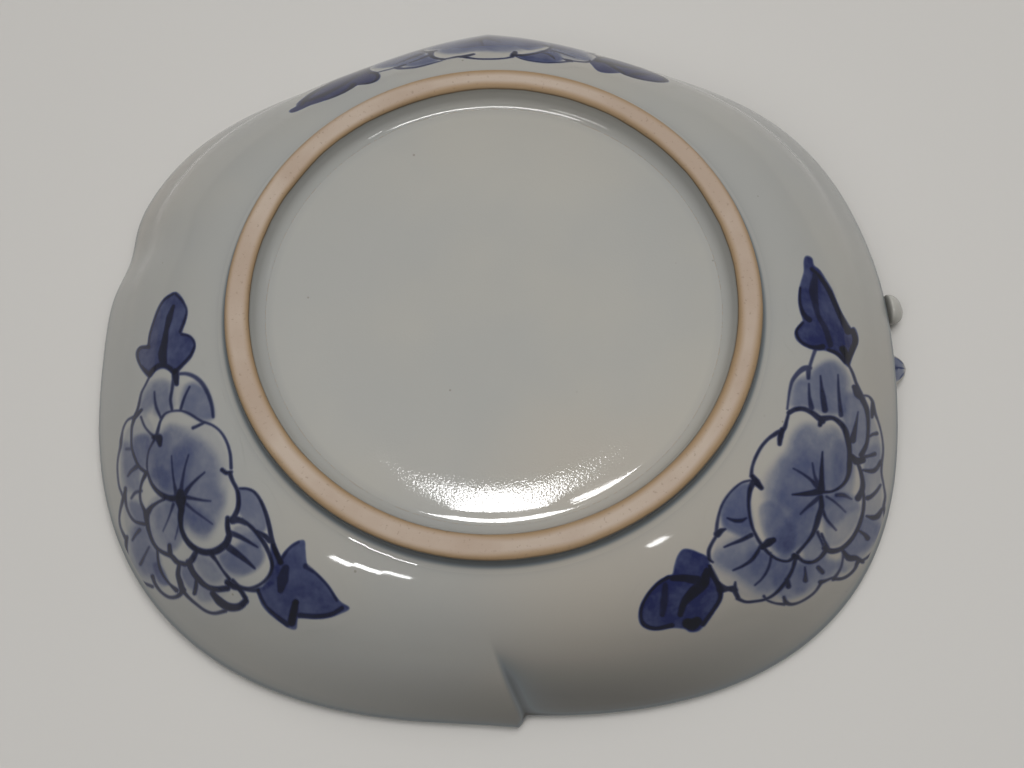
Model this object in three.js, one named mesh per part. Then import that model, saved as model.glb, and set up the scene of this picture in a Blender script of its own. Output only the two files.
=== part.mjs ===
// A lobed porcelain condiment dish, lying face down on its rim.
// Millimetres. Z points up out of the foot ring, X to the twig, Y to the pointed end of the rim.
// The pressed body, the thrown foot ring, the twig and the leaf are luted together before firing.

import * as THREE from "three";

// Plan of the rim, measured from the middle of the foot ring
const WIDTH_TO_LEFT = 73.9;
const WIDTH_TO_RIGHT = 73.2;
const DEPTH_TO_BACK = 70.8;
const DEPTH_TO_FRONT = 66.5;
const BACK_FULLNESS = 2.44;
const FRONT_LEFT_FULLNESS = 2.47;
const FRONT_RIGHT_FULLNESS = 2.69;

// Pointed end of the rim, and the hollow flank on each side of it
const TIP_ANGLE = 90;
const TIP_RISE = 3.3;
const TIP_SPREAD = 18;
const FLANK_ANGLE = 28;
const FLANK_SPREAD = 23;
const RIGHT_FLANK_DEPTH = 5.1;
const LEFT_FLANK_DEPTH = 6;

// Small dent between two lobes of the rim on the left
const DENT_ANGLE = 163;
const DENT_DEPTH = 1.6;
const DENT_SPREAD = 5;

// Lapped edge at the front, where the left side of the rim passes outside the right side
const LAP_ANGLE = -87.5;
const LAP_LEAN = -6;
const LAP_OUTWARD = 1.3;
const LAP_INWARD = 0.8;
const LAP_LEFT_FADE = 7;
const LAP_RIGHT_FADE = 12;
const LAP_HALF_WIDTH = 0.9;
const LAP_LENGTH = 14;
const LAP_ONSET = 8;

// Heights and thicknesses
const DISH_HEIGHT = 28;
const FOOT_RING_HEIGHT = 3.6;
const BASE_RECESS = 0.5;
const FOOT_WALL = 4.2;
const RIM_THICKNESS = 2.8;
const WALL_SWEEP = 1.75;

// Hollow that throws the rim outwards, deepest at the two back shoulders
const FLARE_DEPTH = 0.9;
const FLARE_FROM_RIM = 5;
const FLARE_SPREAD = 2.8;
const FLARE_ANGLE = 48;
const FLARE_ARC = 32;

// Foot ring
const TREAD_OUTER_RADIUS = 45;
const TREAD_WIDTH = 4.2;
const TREAD_EDGE_RADIUS = 0.9;
const FOOT_RING_FLARE = 0.8;
const LAND_MARGIN = 0.4;

// Wave that lifts the rim over the twig and the leaf
const WAVE_LIFT = 3;
const WAVE_ANGLE = 1.5;
const WAVE_SPREAD = 15;

// Twig and leaf on the front face, which faces down here
const LUTING_GAP = 0.3;
const TABLE_CLEARANCE = 0.15;
const TWIG_ANGLE = 4.8;
const TWIG_TURN = 20;
const TWIG_THICKNESS = 2.1;
const TWIG_WIDTH = 4.4;
const TWIG_LENGTH = 24;
const TWIG_JOINT_SWELL = 0.3;
const TWIG_JOINT_AT = 0.48;
const TWIG_JOINT_SPREAD = 0.09;
const KNOB_REACH = 3.9;
const KNOB_WIDTH = 5.8;
const KNOB_HEIGHT = 5.2;
const LEAF_ANGLE = -4.1;
const LEAF_TURN = -14;
const LEAF_THICKNESS = 1.5;
const LEAF_WIDTH = 10.5;
const LEAF_LENGTH = 26;
const LEAF_OVERHANG = 2.1;
const LEAF_RIB = 0.45;

// Facets
const COLUMN_STEP = 3;
const LAP_COLUMN_STEP = 0.8;
const LAP_COLUMN_REACH = 6;
const WALL_STEPS = 12;
const LIP_STEPS = 6;
const RING_COLUMNS = 96;
const SWEEP_SIDES = 16;

// Worked out from the sizes above
const LAND_Z = DISH_HEIGHT - FOOT_RING_HEIGHT;
const RING_INNER_RADIUS = TREAD_OUTER_RADIUS - TREAD_WIDTH;
const LAND_OUTER = TREAD_OUTER_RADIUS + FOOT_RING_FLARE + LAND_MARGIN;
const LAND_INNER = RING_INNER_RADIUS - FOOT_RING_FLARE - LAND_MARGIN;

const radians = THREE.MathUtils.degToRad;
const bell = (distance, spread) => Math.exp(-((distance / spread) ** 2));

// Signed difference of two headings in degrees, from -180 to 180.
function turn(from, to) {
  return THREE.MathUtils.euclideanModulo(to - from + 180, 360) - 180;
}

// Radius of the rim's outer edge at a heading in degrees, without the lapped edge.
function rimRadius(heading) {
  const across = Math.cos(radians(heading));
  const along = Math.sin(radians(heading));
  const frontFullness = across < 0 ? FRONT_LEFT_FULLNESS : FRONT_RIGHT_FULLNESS;
  const fullness = along > 0 ? BACK_FULLNESS : frontFullness;
  const depth = along > 0 ? DEPTH_TO_BACK : DEPTH_TO_FRONT;
  const width = across > 0 ? WIDTH_TO_RIGHT : WIDTH_TO_LEFT;
  const oval = (Math.abs(across / width) ** fullness + Math.abs(along / depth) ** fullness)
    ** (-1 / fullness);
  const fromTip = turn(TIP_ANGLE, heading);
  const tip = TIP_RISE * Math.exp(-Math.abs(fromTip) / TIP_SPREAD);
  const rightFlank = RIGHT_FLANK_DEPTH * bell(fromTip + FLANK_ANGLE, FLANK_SPREAD);
  const leftFlank = LEFT_FLANK_DEPTH * bell(fromTip - FLANK_ANGLE, FLANK_SPREAD);
  const dent = DENT_DEPTH * bell(turn(DENT_ANGLE, heading), DENT_SPREAD);
  return oval + tip - rightFlank - leftFlank - dent;
}

// How far the lapped edge pushes the wall out on its left side, or draws it in on its right side.
// away is the distance to the rim, measured along the plan.
function lapOffset(heading, away) {
  const growth = THREE.MathUtils.smoothstep(LAP_LENGTH - away, 0, LAP_ONSET);
  const edge = LAP_ANGLE + LAP_LEAN * (away / LAP_LENGTH);
  const past = turn(edge, heading);
  const side = THREE.MathUtils.smoothstep(past, -LAP_HALF_WIDTH, LAP_HALF_WIDTH);
  const fade = Math.exp(-Math.abs(past) / (past < 0 ? LAP_LEFT_FADE : LAP_RIGHT_FADE));
  return growth * fade * THREE.MathUtils.lerp(LAP_OUTWARD, -LAP_INWARD, side);
}

// Inward hollow of the wall just inside the rim, which leaves the rim flared.
function flareOffset(heading, away) {
  const fromShoulder = Math.abs(turn(TIP_ANGLE, heading)) - FLARE_ANGLE;
  return FLARE_DEPTH * bell(fromShoulder, FLARE_ARC) * bell(away - FLARE_FROM_RIM, FLARE_SPREAD);
}

// Height of the underside of the lip over the table.
function lipHeight(heading) {
  return WAVE_LIFT * bell(turn(WAVE_ANGLE, heading), WAVE_SPREAD);
}

// Middle line of the wall: a point in the plane of the heading, with share 0 at the foot and 1 at the lip.
function wallMiddle(heading, share) {
  const outerEnd = rimRadius(heading) - RIM_THICKNESS / 2;
  const away = (1 - share) * (outerEnd - LAND_OUTER);
  const reach = outerEnd + lapOffset(heading, away);
  const top = LAND_Z - FOOT_WALL / 2;
  const bottom = lipHeight(heading) + RIM_THICKNESS / 2;
  return new THREE.Vector2(
    THREE.MathUtils.lerp(LAND_OUTER, reach, share) - flareOffset(heading, away),
    THREE.MathUtils.lerp(top, bottom, share ** WALL_SWEEP),
  );
}

// Direction square to the wall's middle line, pointing to the outside of the dish.
function wallNormal(heading, share) {
  const step = 0.01;
  const after = wallMiddle(heading, Math.min(1, share + step));
  const before = wallMiddle(heading, Math.max(0, share - step));
  const along = after.sub(before).normalize();
  return new THREE.Vector2(-along.y, along.x);
}

// Point of the wall at a distance from its middle line, outwards where it is positive.
function wallPoint(heading, share, distance) {
  return wallNormal(heading, share).multiplyScalar(distance).add(wallMiddle(heading, share));
}

const wallThickness = (share) => THREE.MathUtils.lerp(FOOT_WALL, RIM_THICKNESS, share);

// Section of the pressed body in the plane of one heading, from the middle of its underside
// round the lip to the middle of its inside. The first and last points lie on the axis.
function bodySection(heading) {
  const baseZ = LAND_Z - BASE_RECESS;
  const floorZ = LAND_Z - FOOT_WALL;
  const section = [
    new THREE.Vector2(0, baseZ),
    new THREE.Vector2(LAND_INNER / 2, baseZ),
    new THREE.Vector2(LAND_INNER - 2 * BASE_RECESS, baseZ),
    new THREE.Vector2(LAND_INNER, LAND_Z),
  ];
  const shares = Array.from({ length: WALL_STEPS + 1 }, (_, i) => (i / WALL_STEPS) ** 0.85);
  for (const share of shares) {
    section.push(wallPoint(heading, share, wallThickness(share) / 2));
  }
  const lip = wallMiddle(heading, 1);
  const outward = wallNormal(heading, 1);
  for (let i = 1; i < LIP_STEPS; i += 1) {
    const around = outward.clone().rotateAround(new THREE.Vector2(), (-Math.PI * i) / LIP_STEPS);
    section.push(around.multiplyScalar(RIM_THICKNESS / 2).add(lip));
  }
  for (const share of shares.toReversed()) {
    section.push(wallPoint(heading, share, -wallThickness(share) / 2));
  }
  section.push(new THREE.Vector2(LAND_INNER / 2, floorZ), new THREE.Vector2(0, floorZ));
  return section;
}

// Headings of the body's columns, close together at the lapped edge and at the tip.
function bodyHeadings() {
  const headings = [];
  for (let heading = -180; heading < 180; heading += COLUMN_STEP) {
    if (Math.abs(turn(LAP_ANGLE, heading)) > LAP_COLUMN_REACH + COLUMN_STEP / 2) {
      headings.push(heading);
    }
  }
  for (let past = -LAP_COLUMN_REACH - 1; past <= LAP_COLUMN_REACH; past += LAP_COLUMN_STEP) {
    headings.push(LAP_ANGLE + past);
  }
  headings.push(TIP_ANGLE - COLUMN_STEP / 4, TIP_ANGLE, TIP_ANGLE + COLUMN_STEP / 4);
  return [...new Set(headings)].sort((a, b) => a - b);
}

// Turns a list of corner points and triangles into a mesh's geometry.
function solidOf(points, triangles) {
  const geometry = new THREE.BufferGeometry().setFromPoints(points);
  geometry.setIndex(triangles);
  geometry.computeVertexNormals();
  return geometry;
}

// Joins rings of points, in order, with a single point closing each end.
function loft(start, rings, end) {
  const size = rings[0].length;
  const points = [start, ...rings.flat(), end];
  const last = points.length - 1;
  const at = (ring, i) => 1 + ring * size + (i % size);
  const triangles = [];
  for (let i = 0; i < size; i += 1) {
    triangles.push(0, at(0, i), at(0, i + 1));
    triangles.push(last, at(rings.length - 1, i + 1), at(rings.length - 1, i));
    for (let ring = 0; ring < rings.length - 1; ring += 1) {
      triangles.push(at(ring, i), at(ring + 1, i), at(ring + 1, i + 1));
      triangles.push(at(ring, i), at(ring + 1, i + 1), at(ring, i + 1));
    }
  }
  return solidOf(points, triangles);
}

// Point in space from a point in the plane of a heading.
function place(point, heading) {
  const angle = radians(heading);
  return new THREE.Vector3(point.x * Math.cos(angle), point.x * Math.sin(angle), point.y);
}

// The pressed body: base, wall, lip and the open inside, with a flat land for the foot ring.
function bodyGeometry() {
  const headings = bodyHeadings();
  const sections = headings.map(bodySection);
  const steps = sections[0].length;
  const rings = [];
  for (let step = 1; step < steps - 1; step += 1) {
    rings.push(sections.map((section, i) => place(section[step], headings[i])));
  }
  return loft(place(sections[0][0], 0), rings, place(sections[0][steps - 1], 0));
}

// The thrown foot ring: a flat seat, sides that flare to it, and a rounded tread.
function footRingGeometry() {
  const profile = new THREE.Path();
  const outer = TREAD_OUTER_RADIUS;
  const inner = RING_INNER_RADIUS;
  const edge = TREAD_EDGE_RADIUS;
  profile.moveTo(inner - FOOT_RING_FLARE, LAND_Z);
  profile.lineTo(outer + FOOT_RING_FLARE, LAND_Z);
  profile.quadraticCurveTo(outer, LAND_Z + FOOT_RING_HEIGHT / 3, outer, DISH_HEIGHT - edge);
  profile.absarc(outer - edge, DISH_HEIGHT - edge, edge, 0, Math.PI / 2, false);
  profile.lineTo(inner + edge, DISH_HEIGHT);
  profile.absarc(inner + edge, DISH_HEIGHT - edge, edge, Math.PI / 2, Math.PI, false);
  profile.quadraticCurveTo(
    inner, LAND_Z + FOOT_RING_HEIGHT / 3, inner - FOOT_RING_FLARE, LAND_Z,
  );
  return new THREE.LatheGeometry(profile.getPoints(3), RING_COLUMNS).rotateX(Math.PI / 2);
}

// Point on the way that a strip takes over the front face: past the lip where the distance is
// negative, round the lip, and on along the inside of the wall. half is half the strip's thickness.
// away points from the dish's surface into the strip.
function frontRoute(heading, distance, half) {
  const lip = wallMiddle(heading, 1);
  const stand = RIM_THICKNESS / 2 + LUTING_GAP + half;
  const down = new THREE.Vector2(0, -1);
  if (distance <= 0) {
    return { point: new THREE.Vector2(lip.x - distance, lip.y - stand), away: down };
  }
  const bend = Math.asin(wallNormal(heading, 1).x);
  if (distance < bend * stand) {
    const away = down.rotateAround(new THREE.Vector2(), -distance / stand);
    return { point: away.clone().multiplyScalar(stand).add(lip), away };
  }
  const wallLength = wallMiddle(heading, 0).distanceTo(lip);
  const share = 1 - (distance - bend * stand) / wallLength;
  const depth = wallThickness(share) / 2 + LUTING_GAP + half;
  return {
    point: wallPoint(heading, share, -depth),
    away: wallNormal(heading, share).multiplyScalar(-1),
  };
}

// A strip of elliptical section along the front face, with a rib along its middle where one is
// given. Each station gives how far it lies inside the lip, its heading, its width and its height.
// What is higher than the route leaves room for is raised, so that it stands clear of the table.
function frontStrip(stations, half, rib = 0) {
  const route = stations.map(({ distance, heading, height }) => {
    const { point, away } = frontRoute(heading, distance, half);
    const raise = Math.max(0, height / 2 + TABLE_CLEARANCE - point.y);
    return { line: place(point, heading), away: place(away, heading), raise };
  });
  const middles = route.map(({ line, raise }) => line.clone().setZ(line.z + raise));
  const rings = [];
  for (let i = 1; i < stations.length - 1; i += 1) {
    const along = route[i + 1].line.clone().sub(route[i - 1].line).normalize();
    const side = along.clone().cross(route[i].away).normalize();
    const up = side.clone().cross(along);
    const { width, height } = stations[i];
    const ring = [];
    for (let k = 0; k < SWEEP_SIDES; k += 1) {
      const angle = (2 * Math.PI * k) / SWEEP_SIDES;
      const ridge = k === SWEEP_SIDES / 4 ? rib : 0;
      ring.push(middles[i].clone()
        .addScaledVector(side, (width / 2) * Math.cos(angle))
        .addScaledVector(up, (height / 2) * Math.sin(angle) + ridge));
    }
    rings.push(ring);
  }
  return loft(middles[0], rings, middles.at(-1));
}

// The twig: a rounded knob that stands past the rim, a flat neck under the lip, and the stem.
function twigGeometry() {
  const stations = [];
  const outside = RIM_THICKNESS / 2 + KNOB_REACH;
  const knobShares = [0, 0.05, 0.16, 0.32, 0.5, 0.68, 0.84, 0.95];
  for (const share of knobShares) {
    const swell = Math.sqrt(Math.max(0, 1 - (1 - 2 * share * 0.8) ** 2));
    const neck = THREE.MathUtils.smoothstep(share, 0.6, 1);
    stations.push({
      distance: -outside + share * KNOB_REACH,
      heading: TWIG_ANGLE,
      width: THREE.MathUtils.lerp(KNOB_WIDTH * swell, TWIG_WIDTH, neck),
      height: THREE.MathUtils.lerp(KNOB_HEIGHT * swell, TWIG_THICKNESS, neck),
    });
  }
  const stemSteps = 14;
  for (let i = 0; i <= stemSteps; i += 1) {
    const share = i / stemSteps;
    const taper = Math.sqrt(Math.max(0, 1 - share ** 3));
    const joint = 1 + TWIG_JOINT_SWELL * bell(share - TWIG_JOINT_AT, TWIG_JOINT_SPREAD);
    stations.push({
      distance: -RIM_THICKNESS / 2 + share * TWIG_LENGTH,
      heading: TWIG_ANGLE + TWIG_TURN * share ** 2,
      width: TWIG_WIDTH * taper * joint,
      height: TWIG_THICKNESS * taper,
    });
  }
  return frontStrip(stations, TWIG_THICKNESS / 2);
}

// The leaf: a pointed blade laid on the inside of the wall, its end hanging over the rim.
function leafGeometry() {
  const steps = 20;
  const stations = [];
  for (let i = 0; i <= steps; i += 1) {
    const share = i / steps;
    const blade = Math.sin(Math.PI * share ** 0.75) ** 0.8;
    stations.push({
      distance: -RIM_THICKNESS / 2 - LEAF_OVERHANG + share * (LEAF_LENGTH + LEAF_OVERHANG),
      heading: LEAF_ANGLE + LEAF_TURN * share ** 2,
      width: LEAF_WIDTH * blade,
      height: LEAF_THICKNESS * Math.min(1, 2 * blade),
    });
  }
  return frontStrip(stations, LEAF_THICKNESS / 2, LEAF_RIB);
}

function glaze(color, roughness) {
  return new THREE.MeshStandardMaterial({ color, roughness, metalness: 0 });
}

function piece(name, geometry, material) {
  const mesh = new THREE.Mesh(geometry, material);
  mesh.name = name;
  return mesh;
}

const dish = new THREE.Group();
dish.add(
  piece("dish_body", bodyGeometry(), glaze(0xcfd0c6, 0.15)),
  piece("foot_ring", footRingGeometry(), glaze(0xc7a583, 0.75)),
  piece("twig", twigGeometry(), glaze(0xd6d6cd, 0.15)),
  piece("rim_leaf", leafGeometry(), glaze(0x3b4470, 0.2)),
);

// The origin is the middle of the object's box, at the level of the table.
const extent = new THREE.Box3().setFromObject(dish);
const middle = extent.getCenter(new THREE.Vector3());
dish.position.set(-middle.x, -middle.y, -extent.min.z);

const condimentDish = new THREE.Group();
condimentDish.add(dish);
condimentDish.updateMatrixWorld(true);

export default condimentDish;
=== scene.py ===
"""The looks of a blue-and-white condiment dish that lies face down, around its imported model."""

import logging
import math
from dataclasses import dataclass
from enum import Enum
from typing import Any, Callable

import bmesh
import bpy
import numpy as np
from mathutils import Matrix, Vector

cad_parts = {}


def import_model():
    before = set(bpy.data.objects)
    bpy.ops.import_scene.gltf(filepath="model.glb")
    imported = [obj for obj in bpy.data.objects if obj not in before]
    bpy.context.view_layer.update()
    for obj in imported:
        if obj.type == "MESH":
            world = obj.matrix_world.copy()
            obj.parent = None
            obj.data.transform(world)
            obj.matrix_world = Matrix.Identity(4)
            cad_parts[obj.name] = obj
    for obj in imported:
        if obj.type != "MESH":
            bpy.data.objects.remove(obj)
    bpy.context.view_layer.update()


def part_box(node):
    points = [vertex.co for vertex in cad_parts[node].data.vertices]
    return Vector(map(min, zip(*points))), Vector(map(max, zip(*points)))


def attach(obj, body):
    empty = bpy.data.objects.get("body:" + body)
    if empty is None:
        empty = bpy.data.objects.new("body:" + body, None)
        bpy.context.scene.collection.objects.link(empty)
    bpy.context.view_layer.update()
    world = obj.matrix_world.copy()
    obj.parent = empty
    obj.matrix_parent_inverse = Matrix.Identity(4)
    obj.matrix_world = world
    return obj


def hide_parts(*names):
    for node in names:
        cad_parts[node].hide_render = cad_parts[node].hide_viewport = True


Array = np.ndarray
Point = tuple[float, float]
Span = tuple[float, float]
Colour = tuple[float, float, float]

MM = 0.001
BODY = "root"
REFRACTION = 1.5
FACING = ("facing_x", "facing_y", "facing_z")

# The brush, in pixels of the photograph: how far a gap is measured, a stroke's half width as a
# share of the width that is named, the pieces of a curve between two points, and how far past
# its edge a stroke fades. A wash's fade is in shares of its softness.
REACH = 14.0
CORE_SHARE = 0.45
STROKE_STEPS, WASH_STEPS = 6, 5
LINE_EDGE = (-1.2, 1.1)
WASH_EDGE = (-1.4, 0.4)

log = logging.getLogger("condiment_dish")


def turn(start: float, heading: Array) -> Array:
    """Returns the signed difference of two headings in degrees, from -180 to 180."""
    return (heading - start + 180.0) % 360.0 - 180.0


def bell(distance: Array, spread: float) -> Array:
    """Returns a bell-shaped falloff that is 1 where the distance is 0."""
    return np.exp(-((distance / spread) ** 2))


def smooth(value: Array, low: float, high: float) -> Array:
    """Returns an S-shaped ramp from 0 at low to 1 at high."""
    share = np.clip((value - low) / (high - low), 0.0, 1.0)
    return share * share * (3.0 - 2.0 * share)


def mixed(low: Array | float, high: Array | float, share: Array | float) -> Array:
    """Returns the value at a share of the way from low to high."""
    return low + (high - low) * share


def painted(red: int, green: int, blue: int) -> Colour:
    """Turns a display colour of 0 to 255 into Blender's linear values.

    Args:
        red, green, blue: the display values.

    Returns:
        The linear colour.
    """
    def linear(value: float) -> float:
        """Undoes the display curve of one channel."""
        share = value / 255.0
        return share / 12.92 if share <= 0.04045 else ((share + 0.055) / 1.055) ** 2.4

    return linear(red), linear(green), linear(blue)


@dataclass(frozen=True)
class DishPlan:
    """Plan and wall of the dish in millimetres, with headings in degrees about the foot ring."""

    width_to_left: float = 73.9
    width_to_right: float = 73.2
    depth_to_back: float = 70.8
    depth_to_front: float = 66.5
    back_fullness: float = 2.44
    front_left_fullness: float = 2.47
    front_right_fullness: float = 2.69
    tip_angle: float = 90.0
    tip_rise: float = 3.3
    tip_spread: float = 18.0
    flank_angle: float = 28.0
    flank_spread: float = 23.0
    right_flank_depth: float = 5.1
    left_flank_depth: float = 6.0
    dent_angle: float = 163.0
    dent_depth: float = 1.6
    dent_spread: float = 5.0
    lap_angle: float = -87.5
    lap_lean: float = -4.7
    lap_outward: float = 1.3
    lap_inward: float = 0.8
    lap_left_fade: float = 7.0
    lap_right_fade: float = 12.0
    lap_half_width: float = 0.9
    lap_length: float = 11.0
    lap_onset: float = 6.5
    flare_depth: float = 0.9
    flare_from_rim: float = 5.0
    flare_spread: float = 2.8
    flare_angle: float = 48.0
    flare_arc: float = 32.0
    wave_lift: float = 3.0
    wave_angle: float = 1.5
    wave_spread: float = 15.0
    land_height: float = 24.4
    land_outer: float = 46.2
    foot_wall: float = 4.2
    rim_thickness: float = 2.8
    wall_sweep: float = 1.75
    fill_height: float = 0.75
    fill_reach: float = 2.0

    def rim_radius(self, heading: Array) -> Array:
        """Returns the radius of the rim's outer edge, without the lapped edge."""
        across, along = np.cos(np.radians(heading)), np.sin(np.radians(heading))
        front = np.where(across < 0, self.front_left_fullness, self.front_right_fullness)
        fullness = np.where(along > 0, self.back_fullness, front)
        depth = np.where(along > 0, self.depth_to_back, self.depth_to_front)
        width = np.where(across > 0, self.width_to_right, self.width_to_left)
        oval = (abs(across / width) ** fullness + abs(along / depth) ** fullness) ** (-1 / fullness)
        from_tip = turn(self.tip_angle, heading)
        tip = self.tip_rise * np.exp(-abs(from_tip) / self.tip_spread)
        right = self.right_flank_depth * bell(from_tip + self.flank_angle, self.flank_spread)
        left = self.left_flank_depth * bell(from_tip - self.flank_angle, self.flank_spread)
        dent = self.dent_depth * bell(turn(self.dent_angle, heading), self.dent_spread)
        return oval + tip - right - left - dent

    def past_lap(self, heading: Array, away: Array) -> Array:
        """Returns the degrees past the lapped edge at a distance from the rim."""
        return turn(0.0, heading - self.lap_angle - self.lap_lean * away / self.lap_length)

    def lap_offset(self, heading: Array, away: Array) -> Array:
        """Returns how far the lapped edge pushes the wall out, or draws it in."""
        growth = smooth(self.lap_length - away, 0.0, self.lap_onset)
        past = self.past_lap(heading, away)
        side = smooth(past, -self.lap_half_width, self.lap_half_width)
        fade = np.where(past < 0, self.lap_left_fade, self.lap_right_fade)
        return growth * np.exp(-abs(past) / fade) * mixed(self.lap_outward, -self.lap_inward, side)

    def flare_offset(self, heading: Array, away: Array) -> Array:
        """Returns the inward hollow of the wall just inside the rim."""
        shoulder = abs(turn(self.tip_angle, heading)) - self.flare_angle
        near = bell(away - self.flare_from_rim, self.flare_spread)
        return self.flare_depth * bell(shoulder, self.flare_arc) * near

    def outer_end(self, heading: Array) -> Array:
        """Returns the radius of the wall's middle line at the lip."""
        return self.rim_radius(heading) - self.rim_thickness / 2

    def away(self, heading: Array, share: Array) -> Array:
        """Returns the distance to the rim along the plan, at a share of the wall."""
        return (1 - share) * (self.outer_end(heading) - self.land_outer)

    def middle(self, heading: Array, share: Array) -> tuple[Array, Array]:
        """Returns radius and height of the middle line, from 0 at the foot to 1 at the lip."""
        end, away = self.outer_end(heading), self.away(heading, share)
        lip = self.wave_lift * bell(turn(self.wave_angle, heading), self.wave_spread)
        reach = end + self.lap_offset(heading, away)
        radius = mixed(self.land_outer, reach, share) - self.flare_offset(heading, away)
        top, bottom = self.land_height - self.foot_wall / 2, lip + self.rim_thickness / 2
        return radius, mixed(top, bottom, share ** self.wall_sweep)

    def normal(self, heading: Array, share: Array) -> tuple[Array, Array]:
        """Returns the direction square to the middle line, towards the outside of the dish."""
        step = 0.01
        after = self.middle(heading, np.minimum(1.0, share + step))
        before = self.middle(heading, np.maximum(0.0, share - step))
        out, rise = after[0] - before[0], after[1] - before[1]
        length = np.hypot(out, rise)
        return -rise / length, out / length

    def thickness(self, share: Array) -> Array:
        """Returns the wall's thickness at a share of its way to the lip."""
        return mixed(self.foot_wall, self.rim_thickness, share)

    def wall(self, heading: Array, share: Array, depth: Array) -> tuple[Array, Array]:
        """Finds points at a distance from the wall's middle line.

        Args:
            heading: degrees about the axis.
            share: 0 at the foot, 1 at the lip.
            depth: distance from the middle line, outwards where it is positive.

        Returns:
            Radius and height.
        """
        radius, height = self.middle(heading, share)
        out, rise = self.normal(heading, share)
        return radius + out * depth, height + rise * depth

    def outside(self, heading: Array, share: Array, lift: Array | float = 0.0,
                ) -> tuple[Array, Array]:
        """Finds points on the outside of the wall, with the clay that fills its foot."""
        radius, height = self.wall(heading, share, self.thickness(share) / 2 + lift)
        from_foot = share * (self.outer_end(heading) - self.land_outer)
        return radius, height + self.fill_height * np.exp(-from_foot / self.fill_reach)


@dataclass(frozen=True)
class Seat:
    """Where the dish stands: the foot ring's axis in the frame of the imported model."""

    x: float
    y: float

    def place(self, heading: Array, radius: Array, height: Array) -> Array:
        """Returns points in millimetres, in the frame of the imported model."""
        angle = np.radians(heading)
        spots = (self.x + radius * np.cos(angle), self.y + radius * np.sin(angle), height)
        return np.stack(np.broadcast_arrays(*spots), -1)


@dataclass(frozen=True)
class Viewpoint:
    """The photograph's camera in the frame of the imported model, in millimetres and degrees."""

    x: float = 1.15
    y: float = -87.79
    z: float = 209.67
    elevation: float = 69.03
    roll: float = -1.71
    focal_pixels: float = 1200.0
    picture_width: float = 1024.0
    picture_height: float = 768.0
    sensor: float = 36.0
    near_clip: float = 0.01
    far_clip: float = 50.0

    def axes(self) -> tuple[Array, Array, Array]:
        """Returns the camera's right, up and forward directions."""
        tilt, roll = math.radians(self.elevation), math.radians(self.roll)
        forward = np.array((0.0, math.cos(tilt), -math.sin(tilt)))
        level = np.array((1.0, 0.0, 0.0))
        upright = np.cross(level, forward)
        right = math.cos(roll) * level + math.sin(roll) * upright
        return right, np.cross(right, forward), forward

    def pixels(self, points: Array) -> Array:
        """Returns where points in millimetres fall in the photograph, in pixels."""
        right, up, forward = self.axes()
        seen = points - np.array((self.x, self.y, self.z))
        scale = self.focal_pixels / (seen @ forward)
        across = self.picture_width / 2 + scale * (seen @ right)
        down = self.picture_height / 2 - scale * (seen @ up)
        return np.stack((across, down), -1)

    def build(self) -> bpy.types.Object:
        """Makes the camera and returns it."""
        data = bpy.data.cameras.new("photograph_view")
        data.sensor_width, data.sensor_fit = self.sensor, "HORIZONTAL"
        data.lens = self.sensor * self.focal_pixels / self.picture_width
        data.clip_start, data.clip_end = self.near_clip, self.far_clip
        right, up, forward = self.axes()
        camera = bpy.data.objects.new("photograph_view", data)
        turned = Matrix((right, up, -forward)).transposed().to_4x4()
        place = Vector((self.x, self.y, self.z)) * MM
        camera.matrix_world = Matrix.Translation(place) @ turned
        bpy.context.collection.objects.link(camera)
        bpy.context.scene.camera = camera
        return camera


@dataclass(frozen=True)
class Mottle:
    """Cloudy noise: its scale and detail, and the levels between which it is stretched."""

    scale: float
    detail: float
    low: float
    high: float
    start: float = 0.0
    end: float = 1.0


@dataclass(frozen=True)
class Relief:
    """Fine relief: the scale and detail of its noise, and its height in metres."""

    scale: float
    detail: float
    height: float


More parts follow.
